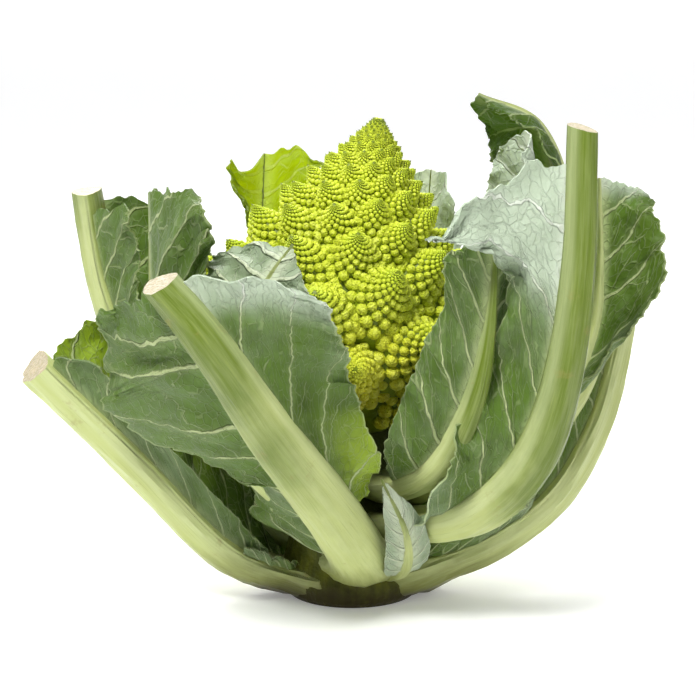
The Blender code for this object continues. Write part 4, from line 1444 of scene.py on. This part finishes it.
# %% Core and floret cones
CORE_SIDES = 48
CORE_STEPS = 24
CORE_INSET = 0.6  # millimetres below the surface that the florets stand on
FLORET_SIDES = 16
FLORET_STEPS = 5
FLORET_FILL = 0.95
FLORET_INSET = 0.4


def lathe(profile, sides):
    """Points and outward triangles of an outline of (radius, height) turned about Z, from its tip down."""
    turn = 2 * math.pi * np.arange(sides) / sides
    rings = [(r * math.cos(t), r * math.sin(t), z) for r, z in profile[1:-1] for t in turn]
    points = np.array([(0, 0, profile[0][1]), *rings, (0, 0, profile[-1][1])])
    foot = len(points) - 1
    faces = []
    for k in range(sides):
        after = (k + 1) % sides
        faces.append((0, 1 + k, 1 + after))
        for ring in range(len(profile) - 3):
            a, b = 1 + ring * sides + k, 1 + ring * sides + after
            faces += [(a, a + sides, b), (b, a + sides, b + sides)]
        faces.append((foot, foot - sides + after, foot - sides + k))
    return points, np.array(faces)


def make_core():
    """The core, with each floret's bare cone joined in."""
    profile = [core_place(CORE_LENGTH * k / CORE_STEPS)[:2] for k in range(1, CORE_STEPS + 1)]
    profile = [(radius - CORE_INSET, HEAD_HEIGHT - drop) for radius, drop in profile]
    profile = [(0, HEAD_HEIGHT - CORE_INSET)] + profile + [(NECK_RADIUS, 0.0), (0, 0)]
    solids = [(HEAD_MATRIX, *lathe(profile, CORE_SIDES))]
    for matrix, radius, height in zip(florets, FLORET_FILL * floret_radii, floret_heights):
        shares = np.linspace(0, 1, FLORET_STEPS + 1)
        cone = [(radius * share, (height - FLORET_INSET) * (1 - share)) for share in shares]
        solids.append((matrix, *lathe(cone + [(0, -0.2 * height)], FLORET_SIDES)))
    all_points, all_faces, total = [], [], 0
    for matrix, points, faces in solids:
        all_points.append(points @ matrix[:3, :3].T + matrix[:3, 3])
        all_faces.append(faces + total)
        total += len(points)
    points, faces = np.concatenate(all_points) * MM, np.concatenate(all_faces)
    return copies_mesh("curd_core", points, faces, columns=(0.0, 0.3, 0.0))


# %% Head pieces
# The number of the first floret in each piece
HEAD_SPLITS = {"curd_top": 0, "curd_upper": 104, "curd_middle": 119, "curd_low": 131, "curd_foot": 142}
head_pieces = [make_core()]
firsts = list(HEAD_SPLITS.values()) + [len(florets)]
for name, low, high in zip(HEAD_SPLITS, firsts, firsts[1:]):
    head_pieces.append(gather_buds(name, (bud_owner >= low) & (bud_owner < high)))
for piece in head_pieces:
    finish_with(piece, curd)
    only(piece)
    bpy.ops.object.shade_smooth()
    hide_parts("head")
    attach(piece, "root")
    print("%-16s %7d triangles" % (piece.name, len(piece.data.polygons)))

# %% [markdown]
# ## The stem
# The stump is the stem as it was cut from the root: a short thick cylinder, ribbed by the scars of
# the lower leaves, olive with long streaks and browned where the knife passed. Higher up, where the
# leaves' stalks close round it, it is painted darker, as painted shade. It starts as a cylinder cut
# into rings that follow the model's outline.

# %% Stem finish
STEM_GREEN = (0.06, 0.066, 0.004)
STEM_STREAK = (0.11, 0.12, 0.007)
STEM_PAINTED_SHADE = (0.035, 0.046, 0.005)
STEM_BROWN = (0.035, 0.026, 0.006)
STEM_RELIEF = 0.0009


def stem_finish():
    paint = Finish("stem_skin", Roughness=0.5, Specular_IOR_Level=0.2)
    x, y, z = paint.place().parts()
    cloud = paint.place().noise(70.0, 3.0)
    fine = paint.place().noise(600.0, 3.0)
    long = x.vector(x * 300.0, y * 300.0, z * 25.0).noise(1.0, 3.0)
    green = mixed(long.rise(0.3, 0.7), STEM_GREEN, STEM_STREAK)
    brown = 1.0 - (z + (cloud - 0.5) * 0.014 + (fine - 0.5) * 0.004).rise(0.003, 0.016)
    # painted shade: from about 1.6 cm up, where the leaves' stalks close round the stem, it is painted darker
    painted_shade_above = z.rise(0.016, 0.034)
    shaded = mixed(painted_shade_above * 0.8, green, STEM_PAINTED_SHADE)
    paint.wire("Base Color", mixed(brown * 0.85, shaded, STEM_BROWN))
    paint.wire("Roughness", 0.45 + fine * 0.25)
    paint.relief(long + fine * 0.5 + cloud, STEM_RELIEF)
    return paint.material


# %% Stem
STEM_PROFILE = (
    (30.0, 0.0), (32.0, 2.5), (32.5, 9.0), (29.5, 28.0), (25.0, 50.0), (21.0, 72.0), (20.0, 110.0),
)
STEM_SIDES = 72
STEM_RINGS = 60
STEM_TOP = 84.0


def make_stem():
    obj = ringed_cylinder("stem_stump", STEM_SIDES, STEM_RINGS, "TRIFAN")
    flat = points_of(obj)
    share = flat[:, 2] + 0.5
    height = STEM_TOP * share**1.3
    outline = np.array(STEM_PROFILE)
    radius = np.interp(height, outline[:, 1], outline[:, 0])
    angle = np.arctan2(flat[:, 1], flat[:, 0])
    lump = 0.8 * wander(angle / (2 * math.pi) * 3, 5) + 0.7 * wander(height / 20 + np.cos(angle), 9)
    radius = radius + lump * step(height, 0.5, 6) - 1.0
    points = np.stack([flat[:, 0] * radius, flat[:, 1] * radius, height], -1)
    move_points(obj, points * MM)
    return obj


stem = make_stem()
finish_with(stem, stem_finish())
only(stem)
bpy.ops.object.shade_smooth_by_angle(angle=math.radians(50))
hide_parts("stem")
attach(stem, "root")
print(stem.name, len(stem.data.polygons), "faces")
